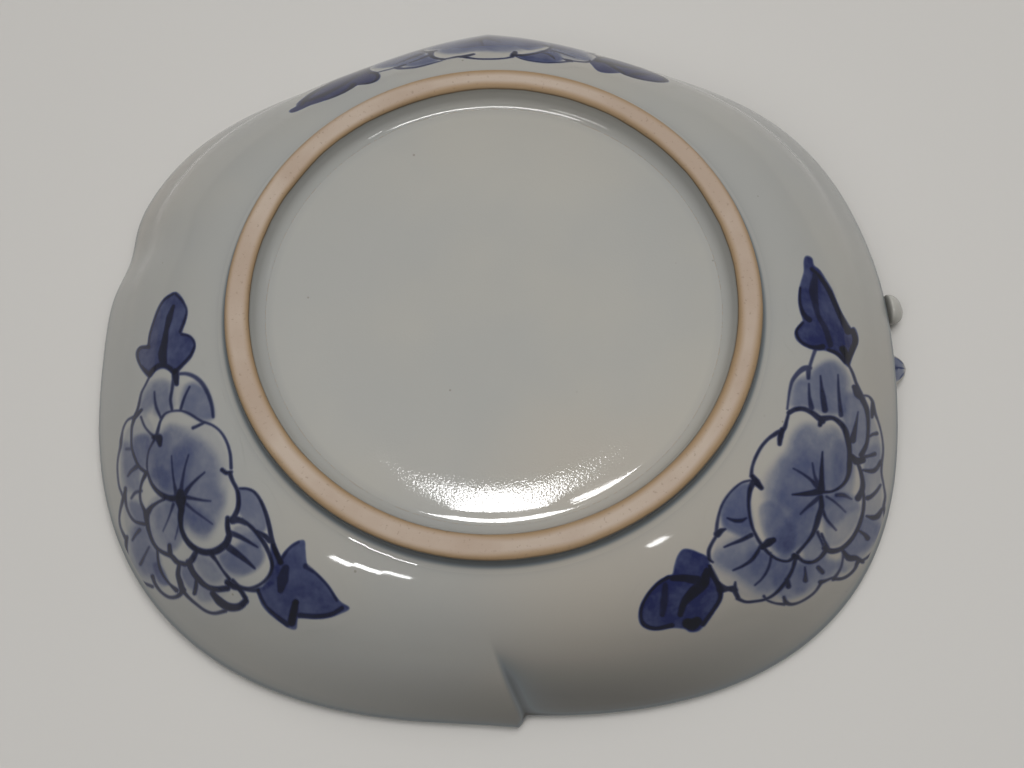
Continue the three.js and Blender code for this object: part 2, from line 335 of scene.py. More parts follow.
class Graph:
    """The node tree of a material or a world, with one method for every kind of node."""

    def __init__(self, owner: bpy.types.Material | bpy.types.World) -> None:
        """Starts an empty node tree for its owner."""
        self.owner = owner
        owner.use_nodes = True
        self.tree = owner.node_tree
        self.tree.nodes.clear()

    def node(self, kind: str, settings: dict[str, Any] | None = None,
             inputs: dict[str | int, Any] | None = None) -> bpy.types.Node:
        """Adds a node.

        Args:
            kind: the node's type.
            settings: the node's own properties, set first; "stops" fills a colour ramp.
            inputs: values or links of its sockets, by name or number.

        Returns:
            The node.
        """
        made = self.tree.nodes.new(kind)
        for name, value in (settings or {}).items():
            if name == "stops":
                self.fill(made.color_ramp, value)
            else:
                setattr(made, name, value)
        for key, value in (inputs or {}).items():
            if isinstance(value, Wire):
                self.tree.links.new(value.socket, made.inputs[key])
            else:
                made.inputs[key].default_value = value
        return made

    @staticmethod
    def fill(ramp: bpy.types.ColorRamp, stops: list[tuple[float, Colour]]) -> None:
        """Gives a colour ramp its stops."""
        while len(ramp.elements) < len(stops):
            ramp.elements.new(1.0)
        for element, (place, colour) in zip(ramp.elements, stops):
            element.position, element.color = place, (*colour, 1.0)

    def wire(self, kind: str, output: str | int = 0, **parts: Any) -> "Wire":
        """Adds a node and returns the wire from one of its outputs."""
        return Wire(self, self.node(kind, **parts).outputs[output])

    def place(self) -> "Wire":
        """Returns the place on the piece, in metres."""
        return self.wire("ShaderNodeTexCoord", "Object")

    def written(self, name: str) -> "Wire":
        """Returns a number that the mesh holds at each of its points."""
        return self.wire("ShaderNodeAttribute", "Fac", settings={"attribute_name": name})

    def noise(self, scale: float, detail: float) -> "Wire":
        """Returns cloudy noise from 0 to 1, with its scale in waves per metre."""
        inputs = {"Vector": self.place(), "Scale": scale, "Detail": detail}
        return self.wire("ShaderNodeTexNoise", inputs=inputs)

    def mottle(self, kind: Mottle) -> "Wire":
        """Returns noise that is stretched between its levels."""
        noise = self.noise(kind.scale, kind.detail)
        return noise.ramp(kind.low, kind.high, kind.start, kind.end)

    def blend(self, share: "Wire | float", low: Any, high: Any) -> "Wire":
        """Returns the mix of two colours."""
        def colour(value: Any) -> Any:
            """Adds the alpha that a colour socket wants."""
            return value if isinstance(value, Wire) else (*value, 1.0)

        inputs = {0: share, 6: colour(low), 7: colour(high)}
        return self.wire("ShaderNodeMix", 2, settings={"data_type": "RGBA"}, inputs=inputs)

    def relief(self, kind: Relief, under: "Wire | None" = None,
               where: "Wire | None" = None) -> "Wire":
        """Returns the normal of a fine relief.

        Args:
            kind: the relief.
            under: the normal on which it lies.
            where: its strength over the piece, full everywhere by default.

        Returns:
            The normal.
        """
        height = self.noise(kind.scale, kind.detail)
        inputs: dict[str | int, Any] = {"Height": height * where if where else height,
                                        "Distance": kind.height, "Strength": 1.0}
        if under:
            inputs["Normal"] = under
        return self.wire("ShaderNodeBump", inputs=inputs)

    def finish(self, **sockets: Any) -> bpy.types.Material:
        """Adds the shader with these sockets and the output, and returns the material."""
        inputs = {name.replace("_", " "): value for name, value in sockets.items()}
        shader = self.wire("ShaderNodeBsdfPrincipled", "BSDF", inputs=inputs)
        self.node("ShaderNodeOutputMaterial", inputs={"Surface": shader})
        return self.owner


class Wire:
    """A socket's output, on which arithmetic adds Math nodes."""

    def __init__(self, graph: Graph, socket: bpy.types.NodeSocket) -> None:
        """Wraps an output socket of a graph."""
        self.graph, self.socket = graph, socket

    def math(self, operation: str, *others: "Wire | float", clamp: bool = False) -> "Wire":
        """Adds a Math node on this value and the others."""
        settings = {"operation": operation, "use_clamp": clamp}
        inputs = dict(enumerate((self, *others)))
        return self.graph.wire("ShaderNodeMath", settings=settings, inputs=inputs)

    def __add__(self, other: "Wire | float") -> "Wire":
        """Adds."""
        return self.math("ADD", other)

    def __mul__(self, other: "Wire | float") -> "Wire":
        """Multiplies."""
        return self.math("MULTIPLY", other)

    def __sub__(self, other: "Wire | float") -> "Wire":
        """Subtracts."""
        return self.math("SUBTRACT", other)

    def __rsub__(self, other: float) -> "Wire":
        """Subtracts this value from a number."""
        return (self * -1.0) + other

    __radd__ = __add__
    __rmul__ = __mul__

    def clamped(self) -> "Wire":
        """Returns the value, held between 0 and 1."""
        return self.math("MULTIPLY", 1.0, clamp=True)

    def ramp(self, low: float, high: float, start: float = 0.0, end: float = 1.0,
             shape: str = "SMOOTHSTEP") -> "Wire":
        """Returns a ramp of the value, S-shaped by default, from start at low to end at high."""
        inputs = {"Value": self, "From Min": low, "From Max": high, "To Min": start, "To Max": end}
        return self.graph.wire("ShaderNodeMapRange", settings={"interpolation_type": shape},
                               inputs=inputs)


@dataclass(frozen=True)
class Glaze:
    """Clear glossy glaze over pale porcelain, with underglaze blue where the mesh holds ink."""

    name: str = "clear_glaze"
    body: Colour = painted(172, 169, 161)
    cool: Colour = painted(166, 165, 160)
    warm: Colour = painted(177, 167, 153)
    # Pooled glaze and painted shade share one tint; the deep tint is painted shade in the recess,
    # at the outer foot and along the lip.
    pooled_and_shaded: Colour = painted(112, 118, 121)
    painted_deep_shade: Colour = painted(58, 58, 56)
    # Painted shade: a darker, browner tint towards the front rim and in the recess past the lapped
    # edge.
    smoked: Colour = painted(102, 97, 88)
    speck: Colour = painted(96, 84, 70)
    pale_wash: Colour = painted(110, 114, 128)
    deep_wash: Colour = painted(72, 79, 108)
    full_wash: Colour = painted(19, 27, 74)
    unpainted: Colour = (1.0, 1.0, 1.0)
    trace: Colour = painted(182, 187, 212)
    thin_line: Colour = painted(96, 104, 150)
    full_line: Colour = painted(17, 24, 66)
    clouds: Mottle = Mottle(26.0, 3.0, 0.35, 0.68)
    warmth: Mottle = Mottle(11.0, 2.0, 0.48, 0.72)
    warm_share: float = 0.7
    speck_scale: float = 330.0
    speck_edge: Span = (0.05, 0.09)
    speck_rarity: Span = (0.93, 0.95)
    speck_share: float = 0.4
    ink_grain: Mottle = Mottle(900.0, 2.0, 0.2, 0.8, 0.9, 1.0)
    wash_clouds: Mottle = Mottle(230.0, 3.0, 0.25, 0.75, -0.16, 0.1)
    wash_onset: float = 0.44
    wash_stops: tuple[float, ...] = (0.0, 0.34, 0.62, 0.92)
    line_stops: tuple[float, ...] = (0.0, 0.25, 0.6, 0.96)
    roughness: Mottle = Mottle(140.0, 2.0, 0.3, 0.7, 0.03, 0.06)
    waves: Relief = Relief(95.0, 1.5, 0.000012)
    peel: Relief = Relief(800.0, 2.0, 0.0000022)
    pits: Relief = Relief(2900.0, 1.0, 0.000013)

    def colour(self, graph: Graph) -> Wire:
        """Returns the glaze's colour over a piece, with its clouds, pools, painted shade, specks
        and ink.
        """
        tone = graph.blend(graph.mottle(self.clouds), self.cool, self.body)
        tone = graph.blend(graph.mottle(self.warmth) * self.warm_share, tone, self.warm)
        # Painted shade: darker, browner glaze towards the front rim and in the recess past the
        # lapped edge.
        tone = graph.blend(graph.written("smoke"), tone, self.smoked)
        # Pooled glaze, and painted shade in the same number in the recess, at the outer foot and
        # along the lip; past 1 it blends to a dark painted shade.
        pool = graph.written("pool")
        tone = graph.blend(pool.clamped(), tone, self.pooled_and_shaded)
        tone = graph.blend((pool - 1.0).clamped(), tone, self.painted_deep_shade)
        tone = graph.blend(self.specks(graph), tone, self.speck)
        grain = graph.mottle(self.ink_grain)
        wash = graph.written("wash")
        strength = wash + graph.mottle(self.wash_clouds) * wash
        strength = strength.math("MULTIPLY", grain, clamp=True)
        blues = (self.pale_wash, self.pale_wash, self.deep_wash, self.full_wash)
        ink = self.scale(graph, self.wash_stops, blues, strength)
        tone = graph.blend(strength.ramp(0.0, self.wash_onset), tone, ink)
        stains = (self.unpainted, self.trace, self.thin_line, self.full_line)
        stain = self.scale(graph, self.line_stops, stains, graph.written("line") * grain)
        return graph.wire("ShaderNodeVectorMath", settings={"operation": "MULTIPLY"},
                          inputs={0: tone, 1: stain})

    @staticmethod
    def scale(graph: Graph, stops: tuple[float, ...], colours: tuple[Colour, ...],
              value: Wire) -> Wire:
        """Returns the colour at a value, on a scale of colours at these stops."""
        return graph.wire("ShaderNodeValToRGB", settings={"stops": list(zip(stops, colours))},
                          inputs={"Fac": value})

    def specks(self, graph: Graph) -> Wire:
        """Returns how strongly the rare iron specks show."""
        cells = {"Vector": graph.place(), "Scale": self.speck_scale}
        dots = graph.node("ShaderNodeTexVoronoi", inputs=cells)
        near = Wire(graph, dots.outputs["Distance"]).ramp(*self.speck_edge, 1.0, 0.0)
        chance = graph.wire("ShaderNodeSeparateColor",
                            inputs={0: Wire(graph, dots.outputs["Color"])})
        return near * chance.ramp(*self.speck_rarity) * self.speck_share

    def material(self) -> bpy.types.Material:
        """Builds the finish and returns it."""
        graph = Graph(bpy.data.materials.new(self.name))
        peel = graph.relief(self.peel, graph.relief(self.waves))
        skin = graph.relief(self.pits, peel, graph.written("pitted"))
        return graph.finish(Base_Color=self.colour(graph), Normal=skin, IOR=REFRACTION,
                            Roughness=graph.mottle(self.roughness))


@dataclass(frozen=True)
class Biscuit:
    """Bare fired clay on the tread, with flashed edges, between the glazed sides of the ring.

    Each edge is a span of millimetres past half the width of the bare clay.
    """

    name: str = "bare_tread"
    clay: Colour = painted(168, 148, 130)
    pale: Colour = painted(180, 163, 147)
    flashed: Colour = painted(150, 124, 92)
    burnt: Colour = painted(74, 60, 42)
    grit: Colour = painted(112, 94, 76)
    half_width: float = 2.4
    glaze_edge: Span = (-0.1, 0.12)
    flash_edge: Span = (-1.5, -0.3)
    burnt_edge: Span = (-0.42, -0.02)
    burnt_share: float = 0.85
    grit_share: float = 0.35
    wobble: Mottle = Mottle(120.0, 3.0, 0.2, 0.8, -0.16, 0.16)
    clouds: Mottle = Mottle(60.0, 4.0, 0.35, 0.65)
    flames: Mottle = Mottle(24.0, 2.0, 0.35, 0.7, 0.0, 0.55)
    grains: Mottle = Mottle(1500.0, 2.0, 0.62, 0.72)
    roughness: float = 0.72
    coarse: Relief = Relief(900.0, 3.0, 0.00004)

    def past(self, side: Wire, edge: Span, *levels: float) -> Wire:
        """Returns a ramp over one of the edges."""
        return side.ramp(self.half_width + edge[0], self.half_width + edge[1], *levels)

    def material(self, glaze: Glaze) -> bpy.types.Material:
        """Builds the finish.

        Args:
            glaze: the finish of the ring's two glazed sides.

        Returns:
            The material.
        """
        graph = Graph(bpy.data.materials.new(self.name))
        side = graph.written("across").math("ABSOLUTE") + graph.mottle(self.wobble)
        clay = graph.blend(graph.mottle(self.clouds), self.clay, self.pale)
        flash = self.past(side + graph.mottle(self.flames), self.flash_edge)
        clay = graph.blend(flash, clay, self.flashed)
        clay = graph.blend(graph.mottle(self.grains) * self.grit_share, clay, self.grit)
        burnt = self.past(side, self.burnt_edge) * self.burnt_share
        clay = graph.blend(burnt, clay, self.burnt)
        bare = self.past(side, self.glaze_edge, 1.0, 0.0)
        return graph.finish(Base_Color=graph.blend(bare, glaze.colour(graph), clay),
                            Roughness=bare.ramp(0.0, 1.0, glaze.roughness.start, self.roughness),
                            IOR=REFRACTION, Normal=graph.relief(self.coarse, where=bare))


@dataclass(frozen=True)
class Tabletop:
    """Plain pale floor under the dish."""

    name: str = "pale_floor"
    colour: Colour = painted(198, 195, 190)
    roughness: float = 0.6

    def material(self) -> bpy.types.Material:
        """Builds the finish and returns it."""
        graph = Graph(bpy.data.materials.new(self.name))
        return graph.finish(Base_Color=(*self.colour, 1.0), Roughness=self.roughness)


def to_points(mesh: bpy.types.Mesh) -> Array:
    """Returns a mesh's points as an array."""
    points = np.empty(len(mesh.vertices) * 3)
    mesh.vertices.foreach_get("co", points)
    return points.reshape(-1, 3)


@dataclass
class Skin:
    """A sheet of quads that takes its shape from rows of points."""

    name: str
    weld: float = 2e-7

    def sheet(self, points: Array, **numbers: Array) -> bpy.types.Mesh:
        """Makes the sheet.

        Args:
            points: rows of points in millimetres.
            numbers: rows of numbers to keep at the points, by name.

        Returns:
            The mesh, in metres.
        """
        rows, columns = points.shape[:2]
        grid = bmesh.new()
        bmesh.ops.create_grid(grid, x_segments=columns - 1, y_segments=rows - 1, size=0.5)
        mesh = bpy.data.meshes.new(self.name)
        grid.to_mesh(mesh)
        grid.free()
        flat = to_points(mesh)[:, :2] + 0.5
        column, row = np.rint(flat * (columns - 1, rows - 1)).astype(int).T
        mesh.vertices.foreach_set("co", (points[row, column] * MM).ravel())
        for name, values in numbers.items():
            layer = mesh.attributes.new(name, "FLOAT", "POINT")
            kept = np.ascontiguousarray(values[row, column], dtype=np.float32)
            layer.data.foreach_set("value", kept)
        return mesh

    def closed(self, mesh: bpy.types.Mesh) -> bpy.types.Object:
        """Welds a sheet's seam and poles and returns it as an object with its faces outwards."""
        work = bmesh.new()
        work.from_mesh(mesh)
        bmesh.ops.remove_doubles(work, verts=work.verts, dist=self.weld)
        bmesh.ops.recalc_face_normals(work, faces=work.faces)
        work.to_mesh(mesh)
        work.free()
        mesh.shade_smooth()
        piece = bpy.data.objects.new(self.name, mesh)
        bpy.context.collection.objects.link(piece)
        return piece


def dressed(piece: bpy.types.Object, material: bpy.types.Material, slot: str,
            *nodes: str) -> bpy.types.Object:
    """Gives a piece its finish and its body, and hides the nodes that it stands for; the slot is
    not used.
    """
    piece.data.materials.append(material)
    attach(piece, BODY)
    if nodes:
        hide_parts(*nodes)
    log.info("%s: %d faces", piece.name, len(piece.data.polygons))
    return piece


@dataclass(frozen=True)
class PoolAndShade:
    """How much darker the glaze is on the outside of the wall: pooled glaze, darker at the foot and
    along the flare's crease, and painted shade in the lap's recess, along the lip and towards the
    front rim.
    """

    plan: DishPlan
    thin: float = 0.12
    thicker_at_lip: float = 0.12
    # Darker at the foot of the wall.
    corner: float = 0.2
    corner_reach: float = 0.5
    lap_edge: Span = (-0.4, 0.6)
    # Painted shade in the recess past the lapped edge.
    recess: float = 1.4
    recess_reach: float = 1.8
    recess_tail: float = 0.3
    recess_tail_reach: float = 6.0
    # Darker along the flare's crease.
    crease: float = 0.16
    crease_spread: float = 2.0
    # Painted shade along the lip.
    lip_shades: tuple[tuple[float, Span], ...] = ((0.2, (0.94, 0.98)), (0.7, (0.985, 1.0)))
    # Painted shade: darker glaze towards the front, towards the front rim, and past the lapped
    # edge.
    front_smoke: float = 0.5
    front_angle: float = -70.0
    front_spread: float = 28.0
    front_from: float = 0.15
    rim_smoke: float = 0.55
    rim_angle: float = -92.0
    rim_spread: float = 45.0
    rim_from: float = 0.45
    lap_smoke: float = 0.3
    lap_smoke_reach: float = 13.0
    lap_smoke_onset: float = -2.0

    def pool(self, heading: Array, share: Array) -> Array:
        """Returns how much darker the glaze is made, from 0 to about 2: pooled glaze, darker at the
        foot and along the flare's crease, and painted shade in the recess past the lapped edge and
        along the lip.
        """
        plan, away = self.plan, self.plan.away(heading, share)
        from_foot = share * (plan.outer_end(heading) - plan.land_outer)
        corner = self.corner * np.exp(-from_foot / self.corner_reach)
        past = plan.past_lap(heading, away)
        growth = smooth(plan.lap_length - away, 0.0, plan.lap_onset)
        right = np.maximum(past, 0.0)
        recess = growth * smooth(past, *self.lap_edge) * (
            self.recess * np.exp(-right / self.recess_reach)
            + self.recess_tail * np.exp(-right / self.recess_tail_reach))
        shoulder = bell(abs(turn(plan.tip_angle, heading)) - plan.flare_angle, plan.flare_arc)
        crease = self.crease * shoulder * bell(away - plan.flare_from_rim, self.crease_spread)
        lip = sum(depth * smooth(share, *span) for depth, span in self.lip_shades)
        return self.thin + self.thicker_at_lip * share ** 2 + corner + recess + crease + lip

    def smoke(self, heading: Array, share: Array) -> Array:
        """Returns painted shade from 0 to 1: darker, browner glaze towards the front rim and past
        the lapped edge.
        """
        plan, away = self.plan, self.plan.away(heading, share)
        past = plan.past_lap(heading, away)
        front = (self.front_smoke * bell(turn(self.front_angle, heading), self.front_spread)
                 * smooth(share, self.front_from, 1.0))
        rim = (self.rim_smoke * bell(turn(self.rim_angle, heading), self.rim_spread)
               * smooth(share, self.rim_from, 1.0))
        growth = smooth(plan.lap_length - away, self.lap_smoke_onset, plan.lap_onset)
        fade = np.exp(-np.maximum(past, 0.0) / self.lap_smoke_reach)
        past_edge = self.lap_smoke * growth * smooth(past, *self.lap_edge) * fade
        return np.minimum(front + rim + past_edge, 1.0)


@dataclass
class DishBody:
    """The pressed body: base, wall, lip and the open inside."""

    plan: DishPlan
    seat: Seat
    pools_and_shade: PoolAndShade
    columns: int = 900
    fine_columns: int = 7200
    lap_crowding: float = 3.0
    lap_crowding_past: float = -3.0
    lap_crowding_spread: float = 9.0
    tip_crowding_spread: float = 5.0
    well_flat: float = 23.0
    well_edge: float = 38.6
    well_tilt: float = 16.5
    well_curve: float = 1.0
    well_edge_height: float = 24.42
    middle_radii: tuple[float, ...] = (0.0, 8.0, 16.0, 22.0)
    well_from: float = 24.0
    well_rows: int = 25
    well_pool: float = 0.2
    well_pool_span: Span = (37.4, 38.9)
    pits_span: Span = (34.6, 36.4)
    wall_rows: int = 44
    wall_crowding: float = 0.9
    first_step: float = 0.002
    lip_rows: int = 12
    # Painted shade on the lip's rows.
    lip_shade: float = 0.9
    inside_rows: int = 20
    floor_radii: tuple[float, ...] = (38.0, 28.0, 18.0, 9.0, 0.0)

    def headings(self) -> Array:
        """Returns the headings of the columns, closest at the lapped edge and at the tip."""
        fine = np.linspace(-180.0, 180.0, self.fine_columns + 1)
        past = turn(self.plan.lap_angle + self.lap_crowding_past, fine)
        at_lap = self.lap_crowding * bell(past, self.lap_crowding_spread)
        at_tip = bell(turn(self.plan.tip_angle, fine), self.tip_crowding_spread)
        density = 1.0 + at_lap + at_tip
        total = np.concatenate(((0.0,), np.cumsum((density[1:] + density[:-1]) / 2)))
        return np.interp(np.linspace(0.0, total[-1], self.columns + 1), total, fine)

    def well(self, radius: Array) -> Array:
        """Returns the height of the glazed base, a shallow bowl inside the foot ring."""
        span = self.well_edge - self.well_flat
        share = np.clip((radius - self.well_flat) / span, 0.0, None)
        rise = math.tan(math.radians(self.well_tilt)) * span / (self.well_curve + 1)
        height = self.well_edge_height - rise * (1 - share ** (self.well_curve + 1))
        return np.minimum(height, self.plan.land_height)

    def lip(self, heading: Array) -> tuple[Array, Array]:
        """Returns the rounded lip, from the outside of the wall to the inside."""
        middle = self.plan.middle(heading, np.ones(1))
        normal = self.plan.normal(heading, np.ones(1))
        angle = (np.pi * np.arange(1, self.lip_rows) / self.lip_rows)[:, None]
        half = self.plan.rim_thickness / 2
        return (middle[0] + half * (normal[0] * np.cos(angle) + normal[1] * np.sin(angle)),
                middle[1] + half * (normal[1] * np.cos(angle) - normal[0] * np.sin(angle)))

    def build(self, material: bpy.types.Material) -> bpy.types.Object:
        """Makes the body and returns it."""
        plan = self.plan
        heading = self.headings()[None, :]
        outer_radii = np.linspace(self.well_from, plan.land_outer, self.well_rows + 1)[:-1]
        base = np.concatenate((self.middle_radii, outer_radii))[:, None] + 0.0 * heading
        share = np.linspace(0.0, 1.0, self.wall_rows + 1) ** self.wall_crowding
        share = np.insert(share, 1, self.first_step)[:, None]
        back = np.linspace(1.0, 0.0, self.inside_rows + 1)[:, None]
        floor = np.array(self.floor_radii)[:, None] + 0.0 * heading
        floor_height = plan.land_height - plan.foot_wall
        parts = ((base, self.well(base)), plan.outside(heading, share), self.lip(heading),
                 plan.wall(heading, back, -plan.thickness(back) / 2),
                 (floor, 0.0 * floor + floor_height))
        radius, height = (np.vstack(rows) for rows in zip(*parts))
        pool, pitted, smoke = (np.zeros_like(radius) for _ in range(3))
        wall_from, lip_from = len(base), len(base) + len(share)
        pool[:wall_from] = self.well_pool * smooth(base, *self.well_pool_span)
        pool[wall_from:lip_from] = self.pools_and_shade.pool(heading, share)
        pool[lip_from:lip_from + self.lip_rows] = self.lip_shade
        pitted[:wall_from] = 1 - smooth(base, *self.pits_span)
        # Painted shade towards the front rim and past the lapped edge.
        smoke[wall_from:lip_from] = self.pools_and_shade.smoke(heading, share)
        skin = Skin("dish_body_glazed")
        mesh = skin.sheet(self.seat.place(heading, radius, height),
                          pool=pool, pitted=pitted, smoke=smoke)
        return dressed(skin.closed(mesh), material, "clear_glaze", "dish_body")


def bend(start: Point, corner: Point, end: Point, steps: int) -> Array:
    """Returns points on the curve that leaves start and reaches end heading through corner."""
    share = np.linspace(0.0, 1.0, steps + 1)[:, None]
    first, middle, last = (np.array(point) for point in (start, corner, end))
    return (1 - share) ** 2 * first + 2 * share * (1 - share) * middle + share ** 2 * last


def arc(centre: Point, radius: float, start: float, end: float, steps: int) -> Array:
    """Returns points on an arc between two angles in degrees."""
    angle = np.radians(np.linspace(start, end, steps + 1))
    return np.array(centre) + radius * np.stack((np.cos(angle), np.sin(angle)), -1)


@dataclass
class FootRing:
    """The thrown foot ring: bare tread, glazed sides, and toes that run into the body.

    Each side is a hollow toe up to its knee and a lean from there to the tread's edge.
    """

    seat: Seat
    columns: int = 720
    tread_outer: float = 45.0
    tread_width: float = 4.2
    tread_middle: float = 42.9
    edge: float = 0.9
    top: float = 28.0
    toe_height: float = 24.3
    toe_rise: float = 24.95
    inner_toe: float = 38.5
    inner_hollow: Point = (40.0, 24.7)
    inner_knee: Point = (40.45, 26.0)
    inner_lean: Point = (40.75, 26.6)
    outer_lean: Point = (45.02, 26.3)
    outer_knee: Point = (45.2, 26.0)
    outer_hollow: Point = (45.65, 25.42)
    outer_toe: float = 46.8
    hidden_inset: float = 1.0
    hidden_depth: float = 0.6
    inner_steps: tuple[int, int] = (10, 3)
    outer_steps: tuple[int, int] = (5, 14)
    edge_steps: int = 7
    tread_steps: int = 4
    inner_pool: Span = (0.2, 0.12)
    inner_pool_to: float = 40.2
    # Painted shade at the outer toe of the ring, thin pooled glaze beyond it.
    outer_foot_shade: Span = (1.6, 0.1)
    outer_foot_shade_span: Span = (45.2, 46.2)

    def section(self) -> Array:
        """Returns radius and height of the ring's section, from the inner toe to the outer."""
        inner, outer, edge = self.tread_outer - self.tread_width, self.tread_outer, self.edge
        shoulder, hidden = self.top - edge, self.toe_height - self.hidden_depth
        start, end = (self.inner_toe, self.toe_height), (self.outer_toe, self.toe_rise)
        rounded, tread = self.edge_steps, (self.tread_middle, self.top)
        return np.vstack((
            bend(start, self.inner_hollow, self.inner_knee, self.inner_steps[0])[:-1],
            bend(self.inner_knee, self.inner_lean, (inner, shoulder), self.inner_steps[1])[:-1],
            arc((inner + edge, shoulder), edge, 180.0, 90.0, rounded)[:-1],
            bend((inner + edge, self.top), tread, (outer - edge, self.top), self.tread_steps)[:-1],
            arc((outer - edge, shoulder), edge, 90.0, 0.0, rounded)[:-1],
            bend((outer, shoulder), self.outer_lean, self.outer_knee, self.outer_steps[0])[:-1],
            bend(self.outer_knee, self.outer_hollow, end, self.outer_steps[1]),
            ((self.outer_toe - self.hidden_inset, hidden),
             (self.inner_toe + self.hidden_inset, hidden), start),
        ))

    def build(self, material: bpy.types.Material) -> bpy.types.Object:
        """Makes the ring and returns it."""
        section = self.section()
        steps = np.hypot(*np.diff(section, axis=0).T)
        length = np.concatenate(((0.0,), np.cumsum(steps)))
        middle = self.tread_outer - self.tread_width / 2
        top = int(np.argmin(np.hypot(section[:, 0] - middle, section[:, 1] - self.top)))
        across = (length - length[top])[:, None]
        radius, height = section[:, :1], section[:, 1:]
        inner = mixed(*self.inner_pool, smooth(radius, self.inner_toe, self.inner_pool_to))
        outer = mixed(*self.outer_foot_shade, smooth(radius, *self.outer_foot_shade_span))
        pool = np.where(across < 0, inner, outer)
        heading = np.linspace(-180.0, 180.0, self.columns + 1)[None, :]
        points = self.seat.place(heading, radius, height)
        skin = Skin("foot_ring_fired")
        mesh = skin.sheet(points, across=across + 0.0 * heading, pool=pool + 0.0 * heading)
        return dressed(skin.closed(mesh), material, "bare_tread", "foot_ring")


@dataclass
class FrontStrip:
    """A strip that hangs past the lip and runs on along the inside of the wall."""

    plan: DishPlan
    seat: Seat
    sides: int = 48
    stations: int = 90
    luting_gap: float = 0.3
    table_clearance: float = 0.15

    def route(self, heading: float, distance: float, half: float) -> tuple[Array, Array]:
        """Finds the strip's middle line.

        Args:
            heading: degrees about the axis.
            distance: millimetres inside the lip's middle, past it where negative.
            half: half the strip's thickness.

        Returns:
            Radius and height, and the direction away from the dish's surface.
        """
        plan = self.plan
        lip = np.array(plan.middle(heading, 1.0), dtype=float)
        stand = plan.rim_thickness / 2 + self.luting_gap + half
        if distance <= 0:
            return lip + (-distance, -stand), np.array((0.0, -1.0))
        turned = math.asin(plan.normal(heading, 1.0)[0])
        if distance < turned * stand:
            angle = distance / stand
            away = np.array((-math.sin(angle), -math.cos(angle)))
            return lip + away * stand, away
        length = float(np.hypot(*(np.array(plan.middle(heading, 0.0)) - lip)))
        share = 1 - (distance - turned * stand) / length
        depth = plan.thickness(share) / 2 + self.luting_gap + half
        return (np.array(plan.wall(heading, share, -depth), dtype=float),
                -np.array(plan.normal(heading, share), dtype=float))

    def strip(self, name: str, distance: Array, heading: Array, width: Array, height: Array,
              half: float, relief: Callable[[Array, Array], Array],
              **numbers: Array) -> bpy.types.Object:
        """Lofts oval sections along the route.

        Args:
            name: the piece's name.
            distance, heading, width, height: the stations.
            half: half the thickness that the route leaves room for.
            relief: extra height over shares along and round the strip.
            numbers: numbers to keep at the points.

        Returns:
            The closed piece.
        """
        lines, ways = [], []
        for reach, angle in zip(distance, heading):
            point, away = self.route(float(angle), float(reach), half)
            lines.append(self.seat.place(angle, *point))
            ways.append(Seat(0.0, 0.0).place(angle, *away))
        line, way = np.array(lines), np.array(ways)
        along = np.gradient(line, axis=0)
        along /= np.linalg.norm(along, axis=1, keepdims=True)
        side = np.cross(along, way)
        side /= np.linalg.norm(side, axis=1, keepdims=True)
        up = np.cross(side, along)
        raised = np.maximum(0.0, height / 2 + self.table_clearance - line[:, 2])
        middle = line + raised[:, None] * np.array((0.0, 0.0, 1.0))
        angle = np.linspace(0.0, 2 * np.pi, self.sides + 1)
        share = np.linspace(0.0, 1.0, len(line))
        swell = relief(share[:, None], angle[None, :])
        out = (width / 2)[:, None] * np.cos(angle)
        rise = (height / 2)[:, None] * np.sin(angle) * swell
        points = (middle[:, None] + side[:, None] * out[..., None] + up[:, None] * rise[..., None])
        skin = Skin(name)
        return skin.closed(skin.sheet(points, **numbers))


@dataclass
class Twig(FrontStrip):
    """The twig: a rounded knob past the rim, a flat neck under the lip, and the stem."""

    angle: float = 4.8
    turned: float = 20.0
    thickness: float = 2.1
    width: float = 4.4
    length: float = 24.0
    joint_swell: float = 0.3
    joint_at: float = 0.48
    joint_spread: float = 0.09
    joint_pool: float = 0.5
    joint_pool_spread: float = 0.05
    knob_reach: float = 3.9
    knob_width: float = 5.8
    knob_height: float = 5.2
    knob_end: float = 0.97
    knob_span: float = 0.65
    neck_from: float = 0.78
    bark_depth: float = 0.04
    bark_grooves: int = 5
    bark_twist: float = 9.0
    bark_span: Span = (0.35, 0.5)

    def bark(self, share: Array, angle: Array) -> Array:
        """Returns the shallow grooves of the bark."""
        wave = np.sin(self.bark_grooves * angle + self.bark_twist * share)
        return 1.0 - abs(self.bark_depth * wave * smooth(share, *self.bark_span))

    def build(self, material: bpy.types.Material) -> bpy.types.Object:
        """Makes the twig and returns it."""
        half_rim = self.plan.rim_thickness / 2
        outside = half_rim + self.knob_reach
        knob = np.sin(np.linspace(0.0, np.pi / 2, self.stations // 3)) ** 2 * self.knob_end
        swell = np.sqrt(np.maximum(0.0, 1 - (1 - 2 * knob * self.knob_span) ** 2))
        neck = smooth(knob, self.neck_from, self.knob_end)
        stem = np.sin(np.linspace(0.0, np.pi / 2, self.stations))
        taper = np.sqrt(np.maximum(0.0, 1 - stem ** 3))
        joint = 1 + self.joint_swell * bell(stem - self.joint_at, self.joint_spread)
        distance = np.concatenate((-outside + knob * self.knob_reach,
                                   -half_rim + stem * self.length))
        heading = np.concatenate((0.0 * knob + self.angle, self.angle + self.turned * stem ** 2))
        width = np.concatenate((mixed(self.knob_width * swell, self.width, neck),
                                self.width * taper * joint))
        height = np.concatenate((mixed(self.knob_height * swell, self.thickness, neck),
                                 self.thickness * taper))
        along = np.concatenate((0.0 * knob + 1, stem))
        pool = self.joint_pool * bell(along - self.joint_at, self.joint_pool_spread)
        piece = self.strip("twig_glazed", distance, heading, width, height, self.thickness / 2,
                           self.bark, pool=pool[:, None] + np.zeros(self.sides + 1))
        return dressed(piece, material, "twig_glaze", "twig")


